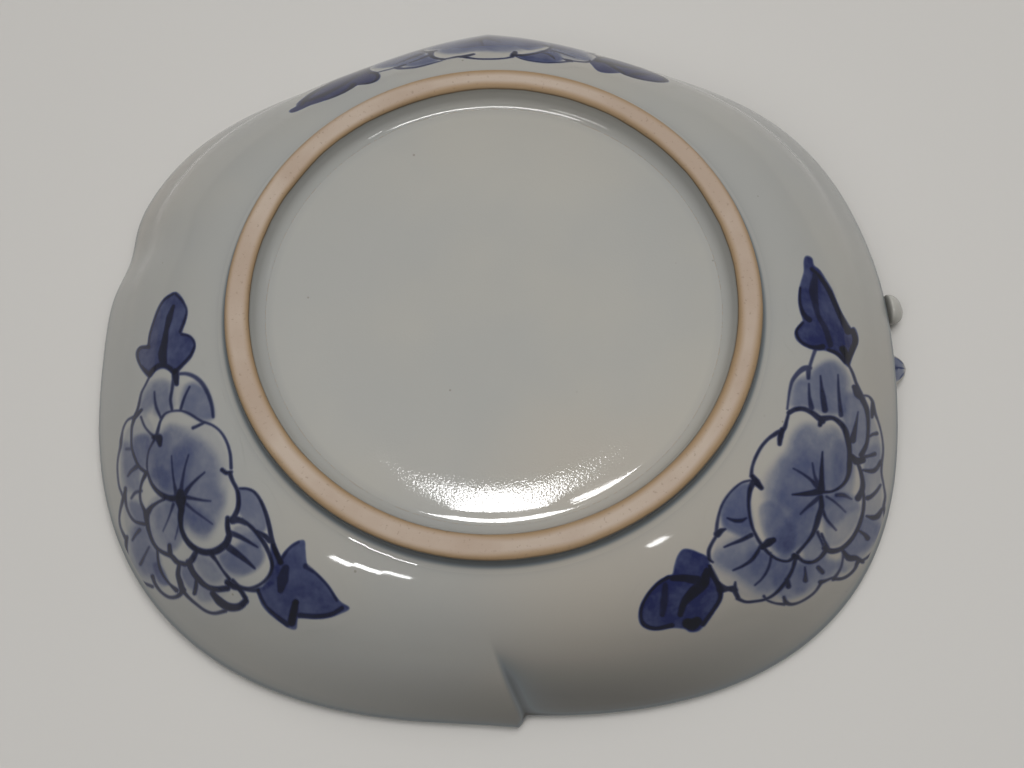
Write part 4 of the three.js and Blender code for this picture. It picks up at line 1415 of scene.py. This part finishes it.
RIGHT_SPRAY = Brushwork((
    Wash("upper leaf", (806, 257, 811, 259, 813, 266, 819, 271, 825, 280, 831, 290, 835, 300,
        840, 312, 844, 322, 849, 330, 853, 328, 856, 333, 857, 341, 854, 349, 851, 357, 848, 366,
        843, 361, 838, 356, 831, 352, 824, 350, 817, 350, 810, 348, 803, 345, 797, 340, 795, 334,
        798, 327, 803, 322, 801, 312, 799, 303, 799, 292, 801, 283, 804, 272, 804, 262), 0.93, 1.6),
    Stroke("upper leaf, right edge", (811, 269, 820, 278, 829, 292, 836, 308, 842, 320, 848, 331),
        (3, 4, 5, 5, 6.5, 8), 0.9),
    Stroke("upper leaf, rib", (815, 275, 813, 290, 815, 304, 818, 316, 825, 329, 830, 345),
        (6, 10, 7, 5, 6, 6), 0.62),
    Stroke("upper leaf, left edge", (800, 288, 799.5, 302, 803, 314, 809, 320), (2, 3, 5, 6), 0.8),
    Stroke("upper leaf, left lobe", (802, 323, 796, 332, 801, 342, 812, 347.5, 822, 347),
        (3, 3, 3, 4, 6), 0.8),
    Stroke("upper leaf, right lobe", (852, 331, 855, 341, 851, 352, 847, 362), (5, 6, 6, 5), 0.9),
    Stroke("upper leaf, knot", (842, 349, 847, 357), (7, 7), 0.97),
    Stroke("upper leaf, foot", (828, 350, 837, 354, 845, 362), (3, 4, 5), 0.8),
    Stroke("stalk, left", (814.5, 351, 812, 358, 809.5, 366), (4, 3.4, 3.6), 0.72),
    Stroke("back petal, left shoulder", (809, 368, 803, 369, 797, 374, 792, 381, 789.5, 390,
        788, 400, 787, 409), (6, 6, 5, 4, 3, 2.2, 2.4), 0.72),
    Stroke("back petal, drop", (808, 368, 808, 378), (6, 4), 0.75),
    Stroke("back petal, left vein", (808.5, 384, 809, 396, 811, 408), (1.8, 3, 6), 0.72),
    Wash("back petal, left", (797, 384, 807, 380, 812, 376, 822, 366, 832, 364, 841, 372, 845, 384,
        843, 400, 840, 412, 824, 412, 806, 405, 793, 404), 0.42, 7),
    Stroke("back petal, middle vein", (820, 376, 821, 386, 822.5, 397, 824.5, 410),
        (1.4, 3, 6, 6.5), 0.82),
    Stroke("back petal, right vein", (837.5, 375, 838, 388, 839, 401, 840.5, 415),
        (1.4, 2.6, 3.6, 5), 0.75),
    Stroke("back petal, right edge", (848, 365, 852, 373, 855.5, 383, 859, 393, 863, 402),
        (2.2, 2.8, 3, 6, 6)),
    Stroke("knot on the right edge", (853.5, 387, 857, 394, 862, 399), (5, 7.5, 6)),
    Wash("pale wash on the back petals", (794, 386, 808, 374, 834, 362, 848, 376, 857, 396,
        842, 410, 805, 405, 790, 404), 0.12, 4),
    Wash("pale wash on the rim petals", (864, 402, 872, 418, 878, 440, 879, 462, 880, 500, 879, 530,
        865, 553, 845, 571, 839, 560, 858, 530, 866, 500, 864, 470, 868, 440), 0.28, 3),
    Wash("pale wash on the low petals", (716, 545, 728, 503, 746, 486, 752, 530, 772, 558, 800, 565,
        836, 562, 842, 573, 815, 586, 795, 598, 748, 597, 716, 570), 0.16, 4),
    Wash("pale wash on the inner petal", (824, 502, 848, 496, 858, 504, 855, 522, 843, 540,
        830, 545, 824, 528), 0.3, 4),
    Wash("pale wash on the main petal", (776, 505, 776, 480, 786, 452, 796, 434, 812, 424, 832, 428,
        848, 446, 854, 470, 852, 494, 836, 500, 820, 508, 808, 528, 792, 552, 778, 548, 768, 528),
        0.14, 6),
    Wash("main petal, blue at the front left", (760, 508, 774, 506, 794, 536, 788, 552, 772, 546,
        763, 530), 0.3, 4),
    Wash("pale wash between the petals", (803, 542, 814, 534, 826, 546, 822, 560, 808, 562), 0.42,
        4),
    Wash("main petal, blue on the right", (836, 444, 850, 456, 852, 474, 848, 494, 834, 494), 0.25,
        4),
    Wash("pale wash on the front petal", (772, 562, 790, 556, 810, 566, 806, 584, 792, 596,
        778, 592), 0.28, 4),
    Wash("side petal", (846, 396, 856, 397, 864, 412, 866, 432, 862, 450, 856, 456, 850, 446,
        846, 428, 843, 412), 0.45, 5),
    Stroke("side petal, vein", (857.5, 412, 856, 421, 854, 431, 852, 440), (1, 2.6, 5, 7.5), 0.85),
    Stroke("side petal, outer edge", (862, 400, 866, 409, 867.5, 420, 867.5, 432, 866, 444,
        861, 455), (6, 5, 4, 3.4, 4, 6)),
    Stroke("rim petal, edge", (862, 395.5, 868, 396.5, 872, 402, 873.5, 411, 877, 420, 880, 430,
        882, 441, 882.5, 452, 881, 464, 881, 474, 883, 485, 884.5, 496, 883, 506),
        (1.8, 1.8, 3, 4, 1.8, 1.4, 1.4, 1.6, 2.4, 1.6, 1.4, 1.8, 2.6)),
    Stroke("rim petal, knot", (871.5, 403, 872, 411, 871.5, 417), (2.4, 5, 3)),
    Stroke("rim petal, first dash", (868, 437, 872, 434.5, 876, 433.5), (2.4, 3, 4), 0.85),
    Stroke("rim petal, second dash", (862, 457, 868, 456, 874, 454), (5, 3, 4.4), 0.85),
    Stroke("rim petal, hook", (880, 461, 877, 467, 872, 471, 862, 470), (3, 4, 5, 2.2), 0.9),
    Stroke("rim petal, second hook", (880, 485, 876, 491, 871, 496, 867, 498), (2.2, 3, 4, 5), 0.9),
    Stroke("rim petal, third hook", (881.5, 509, 877, 516, 872.5, 517.5, 866, 516), (3, 6, 5.5, 2)),
    Wash("rim petal", (866, 455, 876, 446, 880, 458, 870, 468, 866, 482, 866, 494, 863, 476), 0.22,
        5),
    Wash("main petal", (797, 432, 808, 428, 820, 436, 834, 432, 844, 446, 846, 466, 838, 482,
        824, 490, 818, 506, 808, 526, 800, 540, 788, 548, 776, 540, 770, 520, 767, 500, 768, 480,
        780, 462, 790, 452), 0.34, 9),
    Wash("main petal, blue by the heart", (802, 452, 812, 456, 822, 470, 822, 490, 812, 500,
        800, 508, 782, 502, 784, 486, 792, 470), 0.3, 8),
    Wash("main petal, blue below", (800, 510, 814, 508, 812, 524, 802, 540, 786, 552, 774, 546,
        784, 530), 0.38, 6),
    Stroke("main petal, top edge", (788.5, 413, 795, 409.5, 803, 409, 811, 412.5, 817, 417,
        822, 421), (5, 5, 5, 6, 7), 0.93),
    Stroke("main petal, top notch", (819.5, 425, 821, 420), (4.6, 7)),
    Stroke("main petal, right edge", (821, 419, 831, 418, 838, 421.5, 844, 429, 847.5, 440,
        849, 452, 849, 464, 848, 474, 844.5, 482, 839, 487.5, 831, 491.5, 823, 492),
        (7, 4.6, 5.5, 6, 6, 5, 6, 4.6, 3.6, 3, 2.6, 3), 0.95),
    Stroke("knot of the side petals", (850, 456, 856, 461, 862, 460), (6, 8.5, 7), 0.97),
    Stroke("inner edge, right", (856.5, 462, 860, 471, 862, 481, 861.5, 490, 857.5, 498),
        (3.4, 4, 4.6, 6, 7)),
    Stroke("main petal, shoulder", (789, 411, 786.5, 420, 783.5, 429, 776, 433.5, 768, 439,
        761, 447, 755.5, 457, 752, 467, 751, 476), (3, 3.4, 5, 5, 3.4, 3.4, 3.4, 3, 4)),
    Stroke("main petal, first notch", (782, 430, 780, 437, 779.3, 444), (6, 6.5, 4.6), 0.97),
    Stroke("main petal, second notch", (752, 476, 756, 482, 761, 488), (5, 8, 5), 0.97),
    Stroke("main petal, left edge", (753, 482, 749.5, 491, 748.3, 503, 749.3, 515, 752, 527,
        757, 538, 763, 547, 770, 554.5, 778, 559.5, 787, 561, 794, 557),
        (7, 5, 3.4, 3, 3, 3.4, 4, 3.4, 2.6, 2.6, 5)),
    Stroke("main petal, lower notch", (762, 547, 768, 542.5, 773, 540), (6, 9, 6), 0.97),
    Stroke("main petal, lower right edge", (820.5, 497, 821, 507, 818, 517, 815.5, 526, 811, 536,
        804, 545, 797, 553), (5, 6, 6.5, 6, 4, 3, 4)),
    Stroke("knot below the main petal", (794, 556, 797, 557), (7, 6), 0.97),
    Stroke("vein, straight up", (820.5, 490, 821, 479, 821.3, 467, 822, 452), (9, 5.5, 4, 1.6),
        0.93),
    Stroke("vein, up", (818, 486, 814, 475, 812, 463), (6, 2.6, 1.4), 0.72),
    Stroke("vein, up to the left", (818, 487, 810, 479.5, 801, 473, 793, 468.5), (7, 3, 2, 1.4),
        0.76),
    Stroke("vein, to the left", (820, 491, 811, 493, 802, 494, 792, 494.5), (8, 6.5, 4.4, 1.6),
        0.9),
    Stroke("vein, down to the left", (819, 497, 812, 503, 806, 508, 800, 514), (5, 4.4, 3, 1.4),
        0.72),
    Wash("inner petal", (824, 500, 836, 496, 852, 500, 857, 508, 846, 512, 838, 520, 828, 524),
        0.25, 5),
    Stroke("inner petal, right edge", (861.5, 488, 863.3, 499, 862.3, 512, 859, 524, 854, 534.5,
        847.5, 543, 840, 549, 831, 551, 824, 548), (4, 3.4, 3.6, 4, 4, 4.4, 5, 6, 6)),
    Stroke("inner petal, left vein", (822, 510, 826, 519, 831, 525, 835.5, 530), (4, 3, 2.4, 1.6),
        0.8),
    Stroke("inner petal, upper vein", (826, 496.5, 833, 501, 840, 507, 845, 512),
        (2.4, 2, 1.8, 1.2), 0.75),
    Stroke("inner petal, dash", (836, 495, 843, 495, 851, 499), (4, 4.6, 1.4), 0.7),
    Stroke("inner petal, foot", (821, 534, 824, 541, 826.5, 548), (3, 2.6, 6), 0.85),
    Stroke("small petal, lower edge", (798, 557.5, 804, 561.5, 812, 562, 819, 558, 825, 551),
        (4, 3.4, 3.4, 4, 5)),
    Stroke("small petal, right edge", (817, 532, 820.5, 540, 823.5, 547), (4, 2.4, 3), 0.8),
    Wash("outer petal", (862, 520, 872, 522, 878, 530, 868, 544, 852, 554, 844, 550, 856, 538), 0.4,
        5),
    Stroke("outer petal, dash", (858.5, 530.5, 864, 534.5, 867, 538), (2, 4, 5.5), 0.9),
    Stroke("outer petal, rim edge", (883, 507, 884, 517, 883, 529, 879.5, 541, 873, 551, 865, 558.5,
        857, 562), (3, 1.6, 1.5, 1.5, 1.6, 2, 3)),
    Stroke("outer petal, lower edge", (841, 549, 848, 557.5, 855, 558, 862, 561.5), (3, 7, 6, 4)),
    Stroke("low petal, inner edge", (843, 549, 842.5, 557, 840.5, 567, 836, 575, 832.5, 579),
        (2, 2, 1.8, 3, 4), 0.85),
    Stroke("low petal, rim edge", (857, 562, 854, 569, 848, 575, 841, 578.5, 833, 578.5),
        (4, 2.8, 2.8, 2.8, 4)),
    Stroke("low petal, to the knot", (832, 577.5, 826, 580, 820, 582), (2, 2.6, 5)),
    Wash("bottom petal", (800, 566, 818, 564, 828, 560, 836, 566, 828, 574, 818, 580, 806, 590,
        796, 588), 0.34, 6),
    Stroke("bottom petal, rim edge", (820.5, 583, 815, 591, 808, 597, 799, 602, 791, 604,
        785.5, 602, 783.5, 597), (3, 2.2, 2.2, 2.2, 3, 5, 3)),
    Stroke("bottom petal, first dash", (804.5, 567, 805, 574, 805, 580), (1.4, 3, 5.5), 0.85),
    Stroke("bottom petal, second dash", (818, 567.5, 822, 572), (5, 5), 0.85),
    Stroke("bottom petal, third dash", (786.5, 580, 788, 586), (6, 6), 0.85),
    Wash("low left petal, top", (740, 486, 749, 486, 748, 505, 751, 526, 744, 534, 732, 530,
        724, 524, 722, 508, 730, 494), 0.52, 4),
    Wash("low left petal", (716, 560, 730, 546, 748, 538, 757, 546, 770, 558, 784, 564, 790, 572,
        778, 584, 764, 590, 750, 582, 736, 572), 0.36, 8),
    Wash("low left petal, by the edge", (752, 552, 768, 556, 766, 572, 754, 574), 0.3, 6),
    Stroke("low left petal, top edge", (750, 480.5, 742, 482.5, 734.5, 488, 728, 495, 722.5, 503.5,
        719, 513, 717, 523, 716, 533), (2.4, 2, 2, 2, 2.4, 3.4, 4), 0.85),
    Stroke("low left petal, notch", (717, 534, 720.5, 531, 725, 529), (8, 6, 2)),
    Stroke("low left petal, left edge", (716, 536, 711.5, 543.5, 708.5, 551, 709, 559, 712.5, 562),
        (3.4, 3.4, 4, 4, 2)),
    Stroke("low left petal, left lobe", (709.5, 566, 713, 575, 718.5, 583, 726, 588, 734, 588),
        (4, 4.4, 4.4, 4.6, 6)),
    Stroke("low left petal, low notch", (735, 582, 734.5, 590, 738, 598), (2, 6, 4.6)),
    Stroke("low left petal, foot", (737, 598, 745, 601.5, 755, 601, 765, 599, 774, 594, 782, 586,
        788, 577, 792.5, 568, 795, 558), (4, 2.8, 2.6, 2.6, 3, 4, 4, 3.4, 5)),
    Stroke("low left petal, small lobe", (763.5, 596, 767, 600, 775, 603, 784, 604), (3, 2, 2, 3)),
    Stroke("low left petal, first vein", (727, 518, 734, 520.5, 741, 520.5, 746, 518),
        (1.6, 4, 4.6, 1.6), 0.82),
    Stroke("low left petal, second vein", (724, 547, 732, 543.5, 741, 540, 751, 535),
        (1.8, 2.8, 4, 5), 0.88),
    Stroke("low left petal, third vein", (733, 570, 742, 566, 751, 560, 757, 552, 760, 546),
        (1.8, 2.8, 4, 4, 3.4), 0.88),
    Stroke("low left petal, fourth vein", (754.5, 585, 762, 578, 767.5, 569, 770.3, 559, 770, 553),
        (1.6, 2, 2.6, 2.6, 2.6), 0.85),
    Wash("lower leaf", (683, 550, 690, 550, 698, 553, 706, 557, 709, 565, 712, 573, 716, 580,
        722, 588, 721, 597, 717, 606, 711, 615, 704, 624, 698, 630, 690, 631, 684, 628, 672, 627,
        660, 629, 650, 629, 642, 625, 639, 618, 640, 608, 644, 599, 651, 589, 659, 581, 668, 576,
        673, 574, 675, 565, 678, 556), 0.95, 1.6),
    Stroke("lower leaf, dark heart", (707, 571, 703, 583, 693, 592, 684, 602, 680, 614),
        (8, 12, 12, 8, 6), 0.9),
    Stroke("lower leaf, dark shoulder", (672, 578, 684, 578, 697, 580), (6, 8, 10), 0.85),
    Stroke("lower leaf, dark notch", (687, 623, 692, 624, 697, 621), (11, 13, 10), 0.97),
    Stroke("lower leaf, middle dark", (665, 585, 664, 600, 662, 614), (6, 9, 6), 0.6),
    Stroke("lower leaf, left edge", (668, 577, 656, 585, 646, 597, 641, 610, 643, 623, 655, 628,
        672, 625), (4, 3, 3, 3, 4, 4, 5), 0.8),
    Stroke("lower leaf, right edge", (710, 570, 717, 583, 720, 597, 712, 611, 703, 624),
        (7, 6, 5, 4, 5), 0.85),
    Stroke("lower leaf, to the petal", (720, 589, 728, 589, 735, 590), (9, 4, 6)),
))


@dataclass
class Spray:
    """A peony spray: a thin patch of glaze on the wall that holds the ink."""

    plan: DishPlan
    seat: Seat
    pools_and_shade: PoolAndShade
    view: Viewpoint
    name: str
    brushwork: Brushwork
    first: float
    last: float
    turned: float = 0.0
    load: float = 1.0
    near_foot: float = 0.03
    near_rim: float = 0.97
    cell: float = 0.205
    slope: float = 1.25
    stand: float = 0.03
    sink: float = 0.05
    depth: float = 0.08
    feather: Span = (5.0, 9.0)
    cut: float = 11.5

    def build(self, material: bpy.types.Material) -> bpy.types.Object:
        """Makes the patch and returns it."""
        plan = self.plan
        middle = (self.first + self.last) / 2
        length = float(plan.outer_end(np.array(middle))) - plan.land_outer
        across = math.radians(self.last - self.first) * (plan.land_outer + length / 2)
        up = self.slope * length * (self.near_rim - self.near_foot)
        heading = np.linspace(self.first, self.last, round(across / self.cell) + 1)[None, :]
        rows = np.linspace(self.near_foot, self.near_rim, round(up / self.cell) + 1)[:, None]
        share = rows + 0.0 * heading
        from_view = heading - self.turned
        drawn = self.seat.place(from_view, *plan.outside(from_view, share))
        ink = self.brushwork.ink(self.view.pixels(drawn).reshape(-1, 2))
        ink = {name: values.reshape(share.shape) for name, values in ink.items()}
        ink["wash"] = 1 - (1 - ink["wash"]) ** self.load
        lift = mixed(self.stand, -self.sink, smooth(ink["gap"], *self.feather))
        points = self.seat.place(heading, *plan.outside(heading, share, lift))
        wall = self.seat.place(heading, *plan.outside(heading, share))
        facing = np.cross(np.gradient(wall, axis=0), np.gradient(wall, axis=1))
        facing *= np.sign(facing[..., 2:].mean()) / np.linalg.norm(facing, axis=-1, keepdims=True)
        ink.update({name: facing[..., i] for i, name in enumerate(FACING)})
        skin = Skin(self.name)
        # The patch carries the wall's pooled glaze and painted shade.
        mesh = skin.sheet(points, pool=self.pools_and_shade.pool(heading, share),
                          smoke=self.pools_and_shade.smoke(heading, share), **ink)
        piece = self.shell(skin, mesh)
        self.face_like_the_wall(piece.data)
        return dressed(piece, material, "clear_glaze")

    @staticmethod
    def face_like_the_wall(mesh: bpy.types.Mesh) -> None:
        """Gives the patch the wall's own normals, so that its border doesn't show."""
        normals = np.empty((3, len(mesh.vertices)), dtype=np.float32)
        for name, column in zip(FACING, normals):
            mesh.attributes[name].data.foreach_get("value", column)
        mesh.normals_split_custom_set_from_vertices(normals.T.tolist())
        for name in (*FACING, "gap"):
            mesh.attributes.remove(mesh.attributes[name])

    def shell(self, skin: Skin, mesh: bpy.types.Mesh) -> bpy.types.Object:
        """Cuts the sheet down to the painting and gives it a thickness.

        Args:
            skin: the sheet's maker.
            mesh: the sheet, with the gap to the nearest mark at its points.

        Returns:
            The closed patch.
        """
        work = bmesh.new()
        work.from_mesh(mesh)
        gap = work.verts.layers.float["gap"]
        far = [face for face in work.faces if min(v[gap] for v in face.verts) >= self.cut]
        bmesh.ops.delete(work, geom=far, context="FACES")
        bmesh.ops.solidify(work, geom=list(work.faces), thickness=self.depth * MM)
        work.to_mesh(mesh)
        work.free()
        return skin.closed(mesh)


class Role(Enum):
    """What a lamp is for: soft light on everything, or a bright shape mirrored in the glaze."""

    LIGHTS = "lights"
    MIRRORED = "mirrored"


@dataclass(frozen=True)
class Softbox:
    """A rectangular lamp, placed by its direction from the dish and aimed at it."""

    name: str
    azimuth: float
    elevation: float
    width: float
    height: float
    power: float
    role: Role = Role.MIRRORED
    distance: float = 1.3

    def build(self) -> bpy.types.Object:
        """Makes the lamp and returns it."""
        data = bpy.data.lights.new(self.name, "AREA")
        data.shape, data.size, data.size_y = "RECTANGLE", self.width, self.height
        data.energy = self.power
        lamp = bpy.data.objects.new(self.name, data)
        turned, raised = math.radians(self.azimuth), math.radians(self.elevation)
        way = Vector((math.sin(turned) * math.cos(raised), math.cos(turned) * math.cos(raised),
                      math.sin(raised)))
        lamp.matrix_world = (Matrix.Translation(way * self.distance)
                             @ way.to_track_quat("Z", "Y").to_matrix().to_4x4())
        lamp.visible_glossy = self.role is Role.MIRRORED
        lamp.visible_diffuse = self.role is Role.LIGHTS
        bpy.context.collection.objects.link(lamp)
        return lamp


@dataclass(frozen=True)
class Studio:
    """The floor, the lamps and the plain surroundings.

    The horizon and the zenith are heights from -1 to 1, each with its level of light.
    """

    background: float = 0.30
    horizon: Span = (0.02, 0.10)
    zenith: Span = (0.7, 0.34)
    front_share: float = 0.3
    back_share: float = 0.95
    tint: tuple[float, ...] = (0.97, 0.985, 1.0, 1.0)
    floor_size: float = 6.0
    floor_cells: int = 4
    softboxes: tuple[Softbox, ...] = (
        Softbox("key_from_above", 40.0, 72.0, 1.0, 1.0, 11.2, Role.LIGHTS),
        Softbox("fill_from_left", -130.0, 52.0, 0.8, 0.8, 3.6, Role.LIGHTS),
        Softbox("upper_window", -1.5, 52.3, 0.110, 0.148, 1.4),
        Softbox("lower_window", -3.5, 44.8, 0.250, 0.055, 1.2),
        Softbox("lower_window_end", -13.0, 48.6, 0.160, 0.030, 0.45),
        Softbox("front_left_window", -133.0, 46.8, 0.10, 0.055, 0.48),
        Softbox("front_left_window_middle", -139.8, 48.6, 0.13, 0.050, 0.55),
        Softbox("front_left_window_end", -147.5, 50.4, 0.12, 0.040, 0.42),
        Softbox("front_right_window", 130.0, 54.3, 0.08, 0.03, 0.2),
        Softbox("right_window", 63.0, 51.0, 0.12, 0.03, 0.08),
        Softbox("overhead_strip", 180.0, 76.0, 0.8, 0.10, 6.3),
    )

    def build(self, floor: bpy.types.Material) -> None:
        """Makes the floor, the lamps and the world."""
        for softbox in self.softboxes:
            softbox.build()
        grid = bmesh.new()
        cells = self.floor_cells
        bmesh.ops.create_grid(grid, x_segments=cells, y_segments=cells, size=self.floor_size / 2)
        mesh = bpy.data.meshes.new("pale_floor")
        grid.to_mesh(mesh)
        grid.free()
        mesh.materials.append(floor)
        plane = bpy.data.objects.new("pale_floor", mesh)
        bpy.context.collection.objects.link(plane)
        self.surround()

    def surround(self) -> None:
        """Gives the world a light that grows overhead and at the back, and one plain look."""
        world = bpy.data.worlds.new("plain_room")
        bpy.context.scene.world = world
        graph = Graph(world)
        way = graph.node("ShaderNodeSeparateXYZ",
                         inputs={0: graph.wire("ShaderNodeTexCoord", "Generated")})
        (low, dark), (high, bright) = self.horizon, self.zenith
        rise = Wire(graph, way.outputs["Z"]).ramp(low, high, dark, bright)
        side = Wire(graph, way.outputs["Y"]).ramp(-1.0, 1.0, self.front_share, self.back_share,
                                                  "LINEAR")
        path = graph.node("ShaderNodeLightPath")
        camera, glossy = (Wire(graph, path.outputs[f"Is {kind} Ray"])
                          for kind in ("Camera", "Glossy"))
        seen = {"Factor": camera.math("MAXIMUM", glossy), "A": rise * side, "B": self.background}
        strength = graph.wire("ShaderNodeMix", "Result", inputs=seen)
        light = graph.wire("ShaderNodeBackground",
                           inputs={"Color": self.tint, "Strength": strength})
        graph.node("ShaderNodeOutputWorld", inputs={"Surface": light})


@dataclass
class CondimentDish:
    """The whole dish: body, foot ring, painting, twig and leaf."""

    plan: DishPlan
    seat: Seat
    view: Viewpoint

    def build(self) -> None:
        """Makes every piece in order."""
        glaze, pools_and_shade = Glaze(), PoolAndShade(self.plan)
        clear = glaze.material()
        DishBody(self.plan, self.seat, pools_and_shade).build(clear)
        FootRing(self.seat).build(Biscuit().material(glaze))
        Twig(self.plan, self.seat).build(Glaze("twig_glaze").material())
        RimLeaf(self.plan, self.seat).build(Glaze("leaf_blue").material())
        common = (self.plan, self.seat, pools_and_shade, self.view)
        Spray(*common, "spray_left", LEFT_SPRAY, -192.0, -108.0).build(clear)
        Spray(*common, "spray_right", RIGHT_SPRAY, -74.0, 15.0).build(clear)
        Spray(*common, "spray_back", RIGHT_SPRAY, 48.5, 137.5, turned=122.5, load=1.6).build(clear)


def main() -> None:
    """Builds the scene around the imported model."""
    logging.basicConfig(level=logging.INFO, format="%(name)s: %(message)s")
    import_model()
    scene = bpy.context.scene
    scene.view_settings.view_transform = "Standard"
    low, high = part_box("foot_ring")
    seat = Seat((low.x + high.x) / 2 / MM, (low.y + high.y) / 2 / MM)
    view = Viewpoint()
    view.build()
    CondimentDish(DishPlan(), seat, view).build()
    Studio().build(Tabletop().material())


if __name__ == "__main__":
    main()
